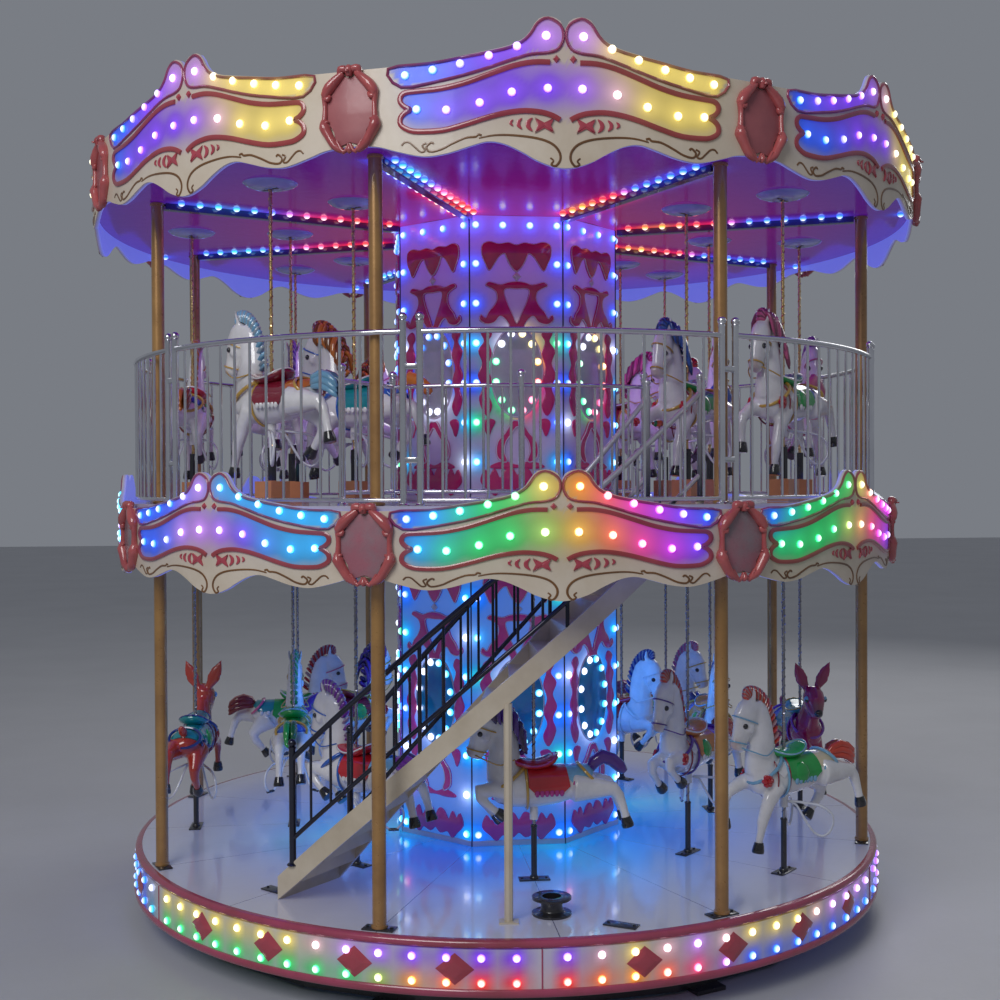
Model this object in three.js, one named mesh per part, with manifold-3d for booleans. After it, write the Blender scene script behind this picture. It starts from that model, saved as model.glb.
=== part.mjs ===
// A double-deck fairground carousel, in millimetres, +Z up.
// The origin lies on the ground under the middle of the turning platform.
// Angles are in degrees from the front bay (the -Y side), growing towards +X.
import * as THREE from 'three';
import * as BufferGeometryUtils from 'three/addons/utils/BufferGeometryUtils.js';
import Module from 'manifold-3d';

const wasm = await Module();
wasm.setup();

// Driving sizes
const bays = 8;
const bayAngle = 360 / bays;
const halfBay = bayAngle / 2;
const floorTop = 520;
const floorThickness = 60;
const postCircle = 2750;
const deckAboveFloor = 2540;
const deckThickness = 150;
const ceilingAboveFloor = 4630;
const ceilingThickness = 30;
const deckTop = floorTop + deckAboveFloor;
const deckUnder = deckTop - deckThickness;
const ceilingUnder = floorTop + ceilingAboveFloor;
const ceilingTop = ceilingUnder + ceilingThickness;
const seat = 0.3;
const roundSteps = 48;

const rad = THREE.MathUtils.degToRad;

// Where an angle and a radius lie in plan
function around(angle, radius, z = 0) {
  return new THREE.Vector3(radius * Math.sin(rad(angle)), -radius * Math.cos(rad(angle)), z);
}

// A closed mesh becomes a solid that can be joined and cut
function toSolid(geometry) {
  const bare = geometry.clone();
  bare.deleteAttribute('uv');
  bare.deleteAttribute('normal');
  const merged = BufferGeometryUtils.mergeVertices(bare, 1e-3);
  const index = merged.index.array;
  const kept = [];
  for (let i = 0; i < index.length; i += 3) {
    const [a, b, c] = [index[i], index[i + 1], index[i + 2]];
    if (a !== b && b !== c && c !== a) kept.push(a, b, c);
  }
  const vertProperties = new Float32Array(merged.attributes.position.array);
  const triVerts = new Uint32Array(kept);
  return new wasm.Manifold(new wasm.Mesh({ numProp: 3, vertProperties, triVerts }));
}

function toGeometry(solid) {
  const mesh = solid.getMesh();
  const geometry = new THREE.BufferGeometry();
  geometry.setAttribute('position', new THREE.BufferAttribute(mesh.vertProperties, 3));
  geometry.setIndex(new THREE.BufferAttribute(mesh.triVerts, 1));
  return geometry;
}

function joined(geometries) {
  const solids = geometries.map(toSolid);
  return toGeometry(solids.reduce((whole, next) => whole.add(next)));
}

function cut(geometry, cutters) {
  const whole = toSolid(geometry);
  return toGeometry(cutters.map(toSolid).reduce((left, next) => left.subtract(next), whole));
}

// An upright block centred on x, y with its lower face at zLow
function block(width, depth, zLow, zHigh, x = 0, y = 0) {
  const geometry = new THREE.BoxGeometry(width, depth, zHigh - zLow);
  return geometry.translate(x, y, (zLow + zHigh) / 2);
}

// A block of the same kind turned to face an angle, its middle on a radius
function blockAt(angle, radius, width, depth, zLow, zHigh) {
  const geometry = block(width, depth, zLow, zHigh, 0, -radius);
  return geometry.rotateZ(rad(angle));
}

// An upright bar of a few sides
function bar(radius, zLow, zHigh, sides, place = new THREE.Vector3()) {
  const geometry = new THREE.CylinderGeometry(radius, radius, zHigh - zLow, sides);
  geometry.rotateX(Math.PI / 2);
  return geometry.translate(place.x, place.y, (zLow + zHigh) / 2);
}

// A profile of [radius, z] pairs, given anticlockwise, turned about the middle
function revolved(profile, steps = roundSteps) {
  const points = profile.map(([radius, z]) => new THREE.Vector2(radius, z));
  points.push(points[0].clone());
  return new THREE.LatheGeometry(points, steps).rotateX(Math.PI / 2);
}

function ringOf(innerRadius, outerRadius, zLow, zHigh, steps = roundSteps) {
  return revolved([[innerRadius, zLow], [outerRadius, zLow], [outerRadius, zHigh], [innerRadius, zHigh]], steps);
}

function disc(radius, zLow, zHigh, steps = roundSteps) {
  return bar(radius, zLow, zHigh, steps);
}

// A wall that follows a circle, with its lower and upper edge given by angle
function curvedWall(innerRadius, outerRadius, angles, lowAt, highAt, closed = false) {
  const places = [];
  for (const angle of angles) {
    places.push(around(angle, innerRadius, lowAt(angle)));
    places.push(around(angle, outerRadius, lowAt(angle)));
    places.push(around(angle, outerRadius, highAt(angle)));
    places.push(around(angle, innerRadius, highAt(angle)));
  }
  const index = [];
  const spans = closed ? angles.length : angles.length - 1;
  for (let i = 0; i < spans; i += 1) {
    const here = 4 * i;
    const there = 4 * ((i + 1) % angles.length);
    for (let side = 0; side < 4; side += 1) {
      const next = (side + 1) % 4;
      index.push(here + side, there + side, there + next);
      index.push(here + side, there + next, here + next);
    }
  }
  if (!closed) {
    const end = 4 * (angles.length - 1);
    index.push(0, 1, 2, 0, 2, 3);
    index.push(end, end + 2, end + 1, end, end + 3, end + 2);
  }
  const geometry = new THREE.BufferGeometry().setFromPoints(places);
  geometry.setIndex(index);
  return geometry;
}

// Evenly spaced angles, both ends included
function spread(from, to, spans) {
  return Array.from({ length: spans + 1 }, (_, i) => from + (to - from) * i / spans);
}

function level(z) {
  return () => z;
}

// A flat or upright block bounded by two radii and two angles
function sector(innerRadius, outerRadius, from, to, zLow, zHigh, spans = 1) {
  return curvedWall(innerRadius, outerRadius, spread(from, to, spans), level(zLow), level(zHigh));
}

// Finishes of the bare model
const finishes = {
  black: new THREE.MeshStandardMaterial({ color: 0x15151a, roughness: 0.5, metalness: 0.4 }),
  white: new THREE.MeshStandardMaterial({ color: 0xe8e8f0, roughness: 0.2, metalness: 0 }),
  rose: new THREE.MeshStandardMaterial({ color: 0xb0406a, roughness: 0.3, metalness: 0 }),
  cream: new THREE.MeshStandardMaterial({ color: 0xe9dcc0, roughness: 0.35, metalness: 0 }),
  gold: new THREE.MeshStandardMaterial({ color: 0x8a5f2c, roughness: 0.35, metalness: 0.6 }),
  magenta: new THREE.MeshStandardMaterial({ color: 0x8a2f8f, roughness: 0.15, metalness: 0 }),
  steel: new THREE.MeshStandardMaterial({ color: 0xb9bcc4, roughness: 0.2, metalness: 1 }),
  horse: new THREE.MeshStandardMaterial({ color: 0xf2f1ee, roughness: 0.15, metalness: 0 }),
  deer: new THREE.MeshStandardMaterial({ color: 0xa3352a, roughness: 0.15, metalness: 0 }),
};

const carousel = new THREE.Group();

function piece(name, geometry, finish, angle = 0, place = new THREE.Vector3()) {
  const mesh = new THREE.Mesh(geometry, finishes[finish].clone());
  mesh.name = name;
  mesh.position.copy(place);
  mesh.rotation.z = rad(angle);
  carousel.add(mesh);
  return mesh;
}

// Standing base: foot pads, radial arms, a ring beam and the bearing hub
const padHeight = 20;
const armTop = 140;
const ringBeamRadius = 2540;
const ringBeamWidth = 80;
const hubRadius = 400;

function baseFrame() {
  const parts = [bar(hubRadius, padHeight, floorTop - floorThickness - seat, 16)];
  const [beamInner, beamOuter] = [ringBeamRadius - ringBeamWidth / 2, ringBeamRadius + ringBeamWidth / 2];
  parts.push(ringOf(beamInner, beamOuter, padHeight, armTop, 20));
  for (let bay = 0; bay < bays; bay += 1) {
    const angle = halfBay + bay * bayAngle;
    parts.push(blockAt(angle, ringBeamRadius / 2, 100, ringBeamRadius, padHeight, armTop));
    parts.push(blockAt(angle, ringBeamRadius, 220, 220, 0, padHeight + 5));
  }
  return joined(parts);
}

piece('base_frame', baseFrame(), 'black');

// Ride places: ring, bay angle, height of the saddle above the deck, and how far the animal is
// turned on its pole
const innerRing = 1678;
const outerRing = 2434;
const usualSaddle = 800;
const lowerRides = [
  { ring: 'inner', angle: 0, saddle: 770 },
  { ring: 'inner', angle: 45, saddle: 870 },
  { ring: 'inner', angle: 90, saddle: 840 },
  { ring: 'inner', angle: 135, saddle: 705 },
  { ring: 'inner', angle: 180, saddle: usualSaddle },
  { ring: 'inner', angle: -135, saddle: usualSaddle },
  { ring: 'inner', angle: -90, saddle: 850 },
  { ring: 'inner', angle: -45, saddle: 790 },
  { ring: 'outer', angle: 45, saddle: 810, turn: -23 },
  { ring: 'outer', angle: 90, saddle: 790, animal: 'deer' },
  { ring: 'outer', angle: 135, saddle: 705 },
  { ring: 'outer', angle: 180, saddle: usualSaddle },
  { ring: 'outer', angle: -135, saddle: 705, turn: -42 },
  { ring: 'outer', angle: -90, saddle: 820, animal: 'deer', turn: -6 },
];
const upperAngles = [45, 90, 135, 180, -135, -90, -45];
const besideWell = -45;
const upperRides = [
  ...upperAngles.map((angle) => (
    { ring: 'inner', angle, saddle: usualSaddle, turn: angle === besideWell ? 10 : 0 }
  )),
  ...upperAngles.map((angle) => ({ ring: 'outer', angle, saddle: usualSaddle })),
];

// The way an animal faces
function heading(ride) {
  return ride.angle + (ride.turn ?? 0);
}

function rideSpot(ride) {
  return around(ride.angle, ride.ring === 'inner' ? innerRing : outerRing);
}

// Pole guides: a tube on an oblong flange, with a bore that the pole slides in
const stroke = 60;
const poleRadius = 17;
const guideBoreRadius = poleRadius + 0.4;
const slotRadius = 23;
const guideRadius = 30;
const usualGuideTop = 370;
const bellyDepth = 285;
const bellyGap = 20;
const guideFlangeHeight = 12;
const boxSide = 160;
const boxHeight = 150;
const boreBottom = 40;
const poleBottom = 140;
const rodSides = 6;

// A guide ends under the belly of its animal, also when that is at its lowest
function guideTop(ride) {
  return Math.min(usualGuideTop, ride.saddle - bellyDepth - stroke - bellyGap);
}

function guideTube(ride, deckLevel) {
  return bar(guideRadius, deckLevel - 10, deckLevel + guideTop(ride), rodSides, rideSpot(ride));
}

function guideFlange(ride, deckLevel) {
  const radius = ride.ring === 'inner' ? innerRing : outerRing;
  return blockAt(ride.angle, radius, 60, 190, deckLevel - 10, deckLevel + guideFlangeHeight);
}

function guideBox(ride, deckLevel) {
  const radius = ride.ring === 'inner' ? innerRing : outerRing;
  return blockAt(ride.angle, radius, boxSide, boxSide, deckLevel - 10, deckLevel + boxHeight);
}

// A hole for the pole, turned with the ride so that its flats face the pole's flats
function poleHole(ride, radius, zLow, zHigh) {
  const spot = rideSpot(ride);
  return bar(radius, zLow, zHigh, rodSides).rotateZ(rad(heading(ride))).translate(spot.x, spot.y, 0);
}

function guideBore(ride, deckLevel) {
  return poleHole(ride, guideBoreRadius, deckLevel + boreBottom, deckLevel + usualGuideTop + 50);
}

// Lower platform
const floorRadius = 2810;
const rimRadius = 2858;
const rimTrimRadius = 2870;
const nosingHeight = 53;
const skirtBottom = 170;
const skirtTrimHeight = 50;

function platformFloor() {
  const parts = [disc(floorRadius, floorTop - floorThickness, floorTop)];
  for (const ride of lowerRides) {
    parts.push(guideTube(ride, floorTop));
    parts.push(guideFlange(ride, floorTop));
  }
  return cut(joined(parts), lowerRides.map((ride) => guideBore(ride, floorTop)));
}

function rimNosing() {
  const low = floorTop - nosingHeight;
  return revolved([
    [floorRadius + seat, low],
    [rimTrimRadius - 6, low],
    [rimTrimRadius, low + 18],
    [rimTrimRadius - 6, floorTop - 12],
    [rimTrimRadius - 24, floorTop],
    [floorRadius + seat, floorTop],
  ]);
}

function rimSkirt() {
  const top = floorTop - nosingHeight - seat;
  const trimTop = skirtBottom + skirtTrimHeight;
  return revolved([
    [rimRadius - 24, skirtBottom],
    [rimTrimRadius, skirtBottom],
    [rimTrimRadius, trimTop],
    [rimRadius, trimTop],
    [rimRadius, top],
    [rimRadius - 24, top],
  ]);
}

piece('platform_floor', toGeometry(toSolid(platformFloor())), 'white');
piece('rim_nosing', toGeometry(toSolid(rimNosing())), 'rose');
piece('rim_skirt', toGeometry(toSolid(rimSkirt())), 'white');

// Gold posts from floor to ceiling at the bay corners
const postRadius = 43;
const postPlateLength = 200;
const postPlateWidth = 96;
const postPlateHeight = 10;

function post() {
  const foot = floorTop + seat;
  return joined([
    bar(postRadius, foot, ceilingUnder - seat, 8),
    block(postPlateLength, postPlateWidth, foot, foot + postPlateHeight),
  ]);
}

for (let bay = 0; bay < bays; bay += 1) {
  const angle = halfBay + bay * bayAngle;
  piece(`post_${bay + 1}`, post(), 'gold', angle, around(angle, postCircle));
}

// Eight-sided centre column, in two storeys
const columnRadius = 907;

function columnStorey(zLow, zHigh) {
  const corners = [];
  for (let bay = 0; bay < bays; bay += 1) {
    const corner = around(halfBay + bay * bayAngle, columnRadius);
    corners.push(new THREE.Vector2(corner.x, corner.y));
  }
  const outline = new THREE.Shape(corners);
  const geometry = new THREE.ExtrudeGeometry(outline, { depth: zHigh - zLow, bevelEnabled: false });
  return geometry.translate(0, 0, zLow);
}

piece('column_lower', columnStorey(floorTop + seat, deckUnder - seat), 'white');
piece('column_upper', columnStorey(deckTop + seat, ceilingUnder - seat), 'white');

// Stair that follows the platform's rim up to a well in the second deck
const stairInner = 1953;
const stairOuter = 2530;
const stringerWidth = 26;
const stringerDepth = 158;
const stairFoot = -41.5;
const stringerTop = 23.2;
const firstRiser = -41.75;
const risers = 17;
const riserHeight = deckAboveFloor / risers;
const risePerDegree = 37.5;
const treadAngle = riserHeight / risePerDegree;
const lastRiser = firstRiser + (risers - 1) * treadAngle;
const plateThickness = 8;
const wellFrom = -28;
const wellTo = 23.5;
const wellInner = 1925;
const wellOuter = 2560;

function stringerLow(angle) {
  return floorTop + seat + Math.max(0, risePerDegree * (angle - stairFoot));
}

function stringerHigh(angle) {
  return floorTop + seat + stringerDepth + risePerDegree * (angle - stairFoot);
}

function stringer(radius) {
  const angles = [...spread(firstRiser, lastRiser, risers - 1), stringerTop];
  return curvedWall(radius - stringerWidth / 2, radius + stringerWidth / 2, angles, stringerLow, stringerHigh);
}

const supportAngle = -6.1;
const supportRadius = 27;

function outerStringer() {
  const foot = floorTop + seat;
  const spot = around(supportAngle, stairOuter);
  return joined([
    stringer(stairOuter),
    bar(supportRadius, foot, stringerLow(supportAngle) + 6, 8, spot),
    blockAt(supportAngle, stairOuter, 120, 80, foot, foot + 10),
  ]);
}

// The treads with their risers. The last one is the landing at the edge of the deck.
function stairTreads() {
  const inner = stairInner + stringerWidth / 2 + seat;
  const outer = stairOuter - stringerWidth / 2 - seat;
  const riserAngle = plateThickness * 180 / Math.PI / stairInner;
  const riserOverlap = 0.05;
  const parts = [];
  for (let step = 0; step < risers; step += 1) {
    const angle = firstRiser + step * treadAngle;
    const treadEnd = step < risers - 1 ? angle + treadAngle : stringerTop;
    const top = floorTop + (step + 1) * riserHeight;
    const under = step === 0 ? floorTop + seat : top - riserHeight - plateThickness;
    parts.push(sector(inner, outer - 1, angle - riserOverlap, angle + riserAngle, under, top));
    parts.push(sector(inner, outer, angle, treadEnd, top - plateThickness, top));
  }
  return joined(parts);
}

piece('stair_outer_stringer', outerStringer(), 'cream');
piece('stair_inner_stringer', toGeometry(toSolid(stringer(stairInner))), 'cream');
piece('stair_treads', stairTreads(), 'cream');

// Hand railings over both stringers
const railSide = 36;
const lowRailAbove = 172;
const topRailAbove = 684;
const balusterSide = 18;
const newelSide = 44;
const footNewelAngle = -39;
const topNewelAngle = 22.6;
const balusterSpans = 18;

function stairRail(radius) {
  const inner = radius - railSide / 2;
  const outer = radius + railSide / 2;
  const angles = spread(footNewelAngle, topNewelAngle, 12);
  const parts = [];
  for (const above of [lowRailAbove, topRailAbove]) {
    const low = (angle) => stringerHigh(angle) + above - railSide;
    const high = (angle) => stringerHigh(angle) + above;
    parts.push(curvedWall(inner, outer, angles, low, high));
  }
  spread(footNewelAngle, topNewelAngle, balusterSpans).forEach((angle, i) => {
    const atEnd = i === 0 || i === balusterSpans;
    const side = atEnd ? newelSide : balusterSide;
    const reachesDown = atEnd || i % 6 === 0;
    const edge = side * 90 / Math.PI / radius;
    const low = stringerHigh(angle) + (reachesDown ? risePerDegree * edge + seat : lowRailAbove - railSide / 2);
    const high = stringerHigh(angle) + topRailAbove + (atEnd ? 70 : -railSide / 2);
    parts.push(blockAt(angle, radius, side, side, low, high));
  });
  return joined(parts);
}

piece('stair_outer_rail', stairRail(stairOuter), 'black');
piece('stair_inner_rail', stairRail(stairInner), 'black');

// Second deck with its well, pole boxes and post holes
const cornicePanel = 30;
const lowerCorniceRadius = 2949;
const deckRadius = lowerCorniceRadius - cornicePanel - seat;
const poleIntoDeck = 62;

function secondDeck() {
  const parts = [disc(deckRadius, deckUnder, deckTop)];
  for (const ride of upperRides) {
    parts.push(guideBox(ride, deckTop));
    parts.push(guideTube(ride, deckTop));
  }
  const cutters = [sector(wellInner, wellOuter, wellFrom, wellTo, deckUnder - 10, deckTop + 10, 10)];
  for (let bay = 0; bay < bays; bay += 1) {
    const angle = halfBay + bay * bayAngle;
    const hole = bar(postRadius + seat, deckUnder - 10, deckTop + 10, 8);
    hole.rotateZ(rad(angle));
    const spot = around(angle, postCircle);
    cutters.push(hole.translate(spot.x, spot.y, 0));
  }
  cutters.push(...upperRides.map((ride) => guideBore(ride, deckTop)));
  for (const ride of lowerRides) {
    cutters.push(poleHole(ride, slotRadius, deckUnder - 10, deckUnder + 2 * poleIntoDeck + 10));
  }
  return cut(joined(parts), cutters);
}

piece('second_deck', secondDeck(), 'white');

// Cornices: scalloped rings with a twin crest over each bay and a medallion over each post
const sampleAngles = [0, 1.1, 2.65, 3.75, 7.5, 11.25, 15, 18.75, 22.5];
const lobeAt = 1.875;

function bayOffset(angle) {
  const turns = Math.round(angle / bayAngle);
  return Math.abs(angle - turns * bayAngle);
}

function scallop(offset, reach) {
  return (1 + Math.cos(Math.PI * Math.min(1, offset / reach))) / 2;
}

const upperEdge = {
  radius: 3120, crest: 5280, shoulder: 5117, top: 5000, lobe: 95, lobeDrop: 145, high: 4583,
  highAt: 7.5, smallDrop: 74, medallionTop: 5030, medallionBottom: 4541, medallionWidth: 350,
};
const lowerEdge = {
  radius: lowerCorniceRadius, crest: 2749, shoulder: 2655, top: 2535, lobe: 90, lobeDrop: 140,
  high: 2130, highAt: 9, smallDrop: 68, medallionTop: 2558, medallionBottom: 2072, medallionWidth: 380,
};

function corniceTop(edge) {
  return (angle) => {
    const offset = bayOffset(angle);
    const rise = ((halfBay - offset) / (halfBay - 2 * lobeAt)) ** 2.2;
    const base = edge.top + (edge.shoulder - edge.top) * Math.min(1, rise);
    const along = edge.radius * rad(Math.abs(offset - lobeAt));
    const lobe = edge.crest - edge.lobe + Math.sqrt(Math.max(0, edge.lobe ** 2 - along ** 2));
    return floorTop + (along < edge.lobe ? Math.max(base, lobe) : base);
  };
}

function corniceBottom(edge) {
  return (angle) => {
    const offset = bayOffset(angle);
    const small = 1 - scallop(Math.abs(offset - (halfBay + edge.highAt) / 2), (halfBay - edge.highAt) / 2);
    const drop = offset < edge.highAt
      ? edge.lobeDrop * scallop(offset, edge.highAt)
      : edge.smallDrop * (1 - small);
    return floorTop + edge.high - drop;
  };
}

function cornice(edge) {
  const angles = [];
  for (let bay = 0; bay < bays; bay += 1) {
    const middle = bay * bayAngle;
    const left = sampleAngles.slice(1, -1).reverse().map((angle) => middle - angle);
    angles.push(...left, ...sampleAngles.map((angle) => middle + angle));
  }
  const inner = edge.radius - cornicePanel;
  const ring = curvedWall(inner, edge.radius, angles, corniceBottom(edge), corniceTop(edge), true);
  const parts = [ring];
  for (let bay = 0; bay < bays; bay += 1) {
    parts.push(medallion(edge, halfBay + bay * bayAngle));
  }
  return joined(parts);
}

// An eight-sided medallion plate that stands 15 mm proud of the cornice
function medallion(edge, angle) {
  const halfWidth = edge.medallionWidth / 2;
  const halfHeight = (edge.medallionTop - edge.medallionBottom) / 2;
  const outline = new THREE.Shape();
  const corners = [[1, 0.5], [0.6, 1], [-0.6, 1], [-1, 0.5], [-1, -0.5], [-0.6, -1], [0.6, -1], [1, -0.5]];
  outline.setFromPoints(corners.map(([x, z]) => new THREE.Vector2(x * halfWidth, z * halfHeight)));
  const plate = new THREE.ExtrudeGeometry(outline, { depth: 30, bevelEnabled: false });
  plate.rotateX(Math.PI / 2);
  const middle = floorTop + (edge.medallionTop + edge.medallionBottom) / 2;
  plate.translate(0, 15 - edge.radius, middle);
  return plate.rotateZ(rad(angle));
}

piece('lower_cornice', cornice(lowerEdge), 'cream');
piece('upper_cornice', cornice(upperEdge), 'cream');

// Ceiling with its radial ribs and a domed plate round each pole hole
const ribWidth = 80;
const ribDepth = 60;
const domeRadius = 180;
const domeDepth = 40;

function ceiling() {
  const parts = [disc(upperEdge.radius - cornicePanel - seat, ceilingUnder, ceilingTop)];
  const ribFrom = columnRadius + 15;
  const ribTo = postCircle - postRadius - 8;
  for (let bay = 0; bay < bays; bay += 1) {
    const angle = halfBay + bay * bayAngle;
    const middle = (ribFrom + ribTo) / 2;
    parts.push(blockAt(angle, middle, ribWidth, ribTo - ribFrom, ceilingUnder - ribDepth, ceilingUnder + 5));
  }
  for (const ride of upperRides) {
    const dome = new THREE.CylinderGeometry(domeRadius, domeRadius * 0.7, domeDepth + 5, 8);
    const spot = rideSpot(ride);
    dome.rotateX(Math.PI / 2);
    parts.push(dome.translate(spot.x, spot.y, ceilingUnder - domeDepth / 2 + 2.5));
  }
  const holes = upperRides.map((ride) => {
    return poleHole(ride, slotRadius, ceilingUnder - 100, ceilingTop + 10);
  });
  return cut(joined(parts), holes);
}

piece('ceiling', ceiling(), 'magenta');

// Low roof cone inside the upper cornice
const roofEdge = floorTop + 4850;
const roofPeak = floorTop + 5180;
const roofThickness = 20;

function roof() {
  const edgeRadius = upperEdge.radius - cornicePanel - seat;
  return revolved([
    [0, roofPeak - roofThickness],
    [edgeRadius, roofEdge - roofThickness],
    [edgeRadius, roofEdge],
    [0, roofPeak],
  ], 32);
}

piece('roof', toGeometry(toSolid(roof())), 'cream');

// Guard railing round the second deck: panels of 40 degrees, clamped newel to newel
const guardRadius = 2829;
const guardPanels = 9;
const guardStep = 360 / guardPanels;
const guardStart = 22.5;
const guardTop = 1042;
const guardLow = 48;
const guardBar = 30;
const newelOffset = 1.05;
const guardBalusters = 13;

function guardPanel(middle) {
  const from = middle - guardStep / 2 + newelOffset;
  const to = middle + guardStep / 2 - newelOffset;
  const inner = guardRadius - guardBar / 2;
  const outer = guardRadius + guardBar / 2;
  const parts = [];
  for (const rail of [guardLow, guardTop]) {
    parts.push(sector(inner, outer, from, to, deckTop + rail - guardBar, deckTop + rail, 5));
  }
  for (const angle of [from, to]) {
    parts.push(blockAt(angle, guardRadius, newelSide, newelSide, deckTop + seat, deckTop + guardTop + 70));
  }
  for (const angle of spread(from, to, guardBalusters + 1).slice(1, -1)) {
    const low = deckTop + guardLow - guardBar / 2;
    const high = deckTop + guardTop - guardBar / 2;
    parts.push(blockAt(angle, guardRadius, balusterSide, balusterSide, low, high));
  }
  return parts;
}

// The clamps bridge the gap between neighbouring newels
function guardClamps(angle, reach) {
  const half = newelOffset * reach;
  return [250, 800].map((above) => {
    return sector(guardRadius - 12, guardRadius + 12, angle - newelOffset, angle + half, deckTop + above,
      deckTop + above + 36);
  });
}

function guardRun(first) {
  const parts = [];
  const newelEdge = newelSide * 90 / Math.PI / guardRadius;
  for (let panel = first; panel < first + 3; panel += 1) {
    const middle = guardStart + (panel + 0.5) * guardStep;
    const ending = panel === first + 2;
    const reach = ending ? (newelOffset - newelEdge - 0.007) / newelOffset : 1;
    parts.push(...guardPanel(middle), ...guardClamps(middle + guardStep / 2, reach));
  }
  return joined(parts);
}

['right', 'back', 'left'].forEach((side, run) => {
  piece(`guard_rail_${side}`, guardRun(3 * run), 'steel');
});

// Inner guard of the stair well, with a return at its closed end
const wellGuardTop = 786;
const wellGuardRadius = wellInner - 40;
const wellGuardFrom = wellFrom - 1.5;

function wellGuard() {
  const side = 26;
  const parts = [];
  const low = deckTop + seat;
  for (const rail of [90, wellGuardTop]) {
    const z = deckTop + rail;
    const [railInner, railOuter] = [wellGuardRadius - side / 2, wellGuardRadius + side / 2];
    parts.push(sector(railInner, railOuter, wellGuardFrom, wellTo, z - side, z, 8));
    const reach = wellOuter - wellGuardRadius;
    parts.push(blockAt(wellGuardFrom, wellGuardRadius + reach / 2, side, reach, z - side, z));
  }
  spread(wellGuardFrom, wellTo, 14).forEach((angle, i) => {
    const atEnd = i % 7 === 0;
    const width = atEnd ? newelSide : balusterSide;
    const foot = atEnd ? low : deckTop + 90 - side / 2;
    const head = deckTop + wellGuardTop + (atEnd ? 60 : -side / 2);
    parts.push(blockAt(angle, wellGuardRadius, width, width, foot, head));
  });
  spread(wellGuardRadius, wellOuter, 5).slice(1).forEach((radius, i) => {
    const atEnd = i === 4;
    const width = atEnd ? newelSide : balusterSide;
    const foot = atEnd ? low : deckTop + 90 - side / 2;
    const head = deckTop + wellGuardTop + (atEnd ? 60 : -side / 2);
    parts.push(blockAt(wellGuardFrom, radius, width, width, foot, head));
  });
  return joined(parts);
}

piece('well_guard', wellGuard(), 'steel');

// Empty pole socket on the floor of the front bay
const socketAngle = 0.3;
const socketRadius = 2395;

function poleSocket() {
  const foot = floorTop + seat;
  const profile = [[58, foot], [123, foot], [123, foot + 14], [76, foot + 24], [70, foot + 56], [78, foot + 86],
    [123, foot + 96], [123, foot + 112], [58, foot + 112]];
  return toGeometry(toSolid(revolved(profile, 16)));
}

piece('pole_socket', poleSocket(), 'black', socketAngle, around(socketAngle, socketRadius));

// Rides: an animal on its own sliding pole, heading clockwise seen from above.
// Each is made with its saddle at the origin, its nose towards -X.
function outlineSlab(corners, width, y = 0) {
  const outline = new THREE.Shape(corners.map(([x, z]) => new THREE.Vector2(x, z)));
  const slab = new THREE.ExtrudeGeometry(outline, { depth: width, bevelEnabled: false });
  slab.rotateX(Math.PI / 2);
  return slab.translate(0, y + width / 2, 0);
}

const legWidth = 62;
const legSpread = 80;
const bodyWidth = 230;
const headWidth = 120;
const tailWidth = 90;

const trunk = [[-290, -50], [-120, 0], [170, 0], [340, -10], [420, -90], [400, -200], [250, -260],
  [60, -bellyDepth], [-150, -280], [-300, -190]];
// Each gait has a leg on the near side and one on the far side, in front and behind.
const trailingLeg = [[250, -80], [400, -70], [570, -110], [660, -370], [610, -430], [550, -390], [510, -210],
  [300, -230]];
const gaits = {
  gallop: [
    [[[-80, -180], [-220, -200], [-290, -380], [-330, -570], [-330, -630], [-235, -630], [-190, -400],
      [-60, -280]],
    [[-150, -140], [-290, -120], [-470, -195], [-480, -470], [-410, -470], [-390, -280], [-200, -270]]],
    [trailingLeg,
      [[200, -130], [360, -130], [440, -300], [340, -480], [250, -480], [250, -430], [330, -320],
        [200, -250]]],
  ],
  jump: [
    [[[-150, -110], [-290, -80], [-430, -100], [-440, -160], [-230, -360], [-170, -320], [-330, -190],
      [-200, -230]],
    [[-150, -130], [-290, -110], [-400, -140], [-410, -200], [-240, -410], [-180, -370], [-310, -230],
      [-190, -260]]],
    [trailingLeg, trailingLeg],
  ],
};
const heads = {
  horse: [[-60, -20], [-290, -170], [-265, 130], [-360, 15], [-450, 55], [-400, 330], [-300, 460], [-170, 390],
    [-90, 200]],
  deer: [[-60, -20], [-290, -170], [-330, -30], [-460, 20], [-410, 240], [-330, 450], [-240, 430], [-220, 230],
    [-130, 100]],
};
const tails = {
  horse: [[320, -30], [430, 40], [590, 20], [600, -110], [430, -110], [380, -120]],
  deer: [[330, -30], [420, 70], [480, 60], [400, -110]],
};

function animal(kind, gait) {
  const parts = [outlineSlab(trunk, bodyWidth)];
  parts.push(outlineSlab(heads[kind], headWidth), outlineSlab(tails[kind], tailWidth));
  gaits[gait].forEach((pair) => {
    parts.push(outlineSlab(pair[0], legWidth, -legSpread));
    parts.push(outlineSlab(pair[1], legWidth, legSpread));
  });
  return parts;
}

function rideGeometry(ride, gait, poleReach) {
  const pole = bar(poleRadius, poleBottom - ride.saddle, poleReach - ride.saddle, rodSides);
  return joined([...animal(ride.animal ?? 'horse', gait), pole]);
}

function addRides(storey, rides, deckLevel, poleReach) {
  const counts = { inner: 0, outer: 0 };
  for (const ride of rides) {
    counts[ride.ring] += 1;
    const place = rideSpot(ride).setZ(deckLevel + ride.saddle);
    const finish = ride.animal === 'deer' ? 'deer' : 'horse';
    const gait = storey === 'lower' && ride.ring === 'inner' ? 'jump' : 'gallop';
    const name = `${storey}_${ride.ring}_ride_${counts[ride.ring]}`;
    piece(name, rideGeometry(ride, gait, poleReach), finish, heading(ride), place);
  }
}

addRides('lower', lowerRides, floorTop, deckUnder + poleIntoDeck - floorTop);
addRides('upper', upperRides, deckTop, ceilingTop + 120 - deckTop);

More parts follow.
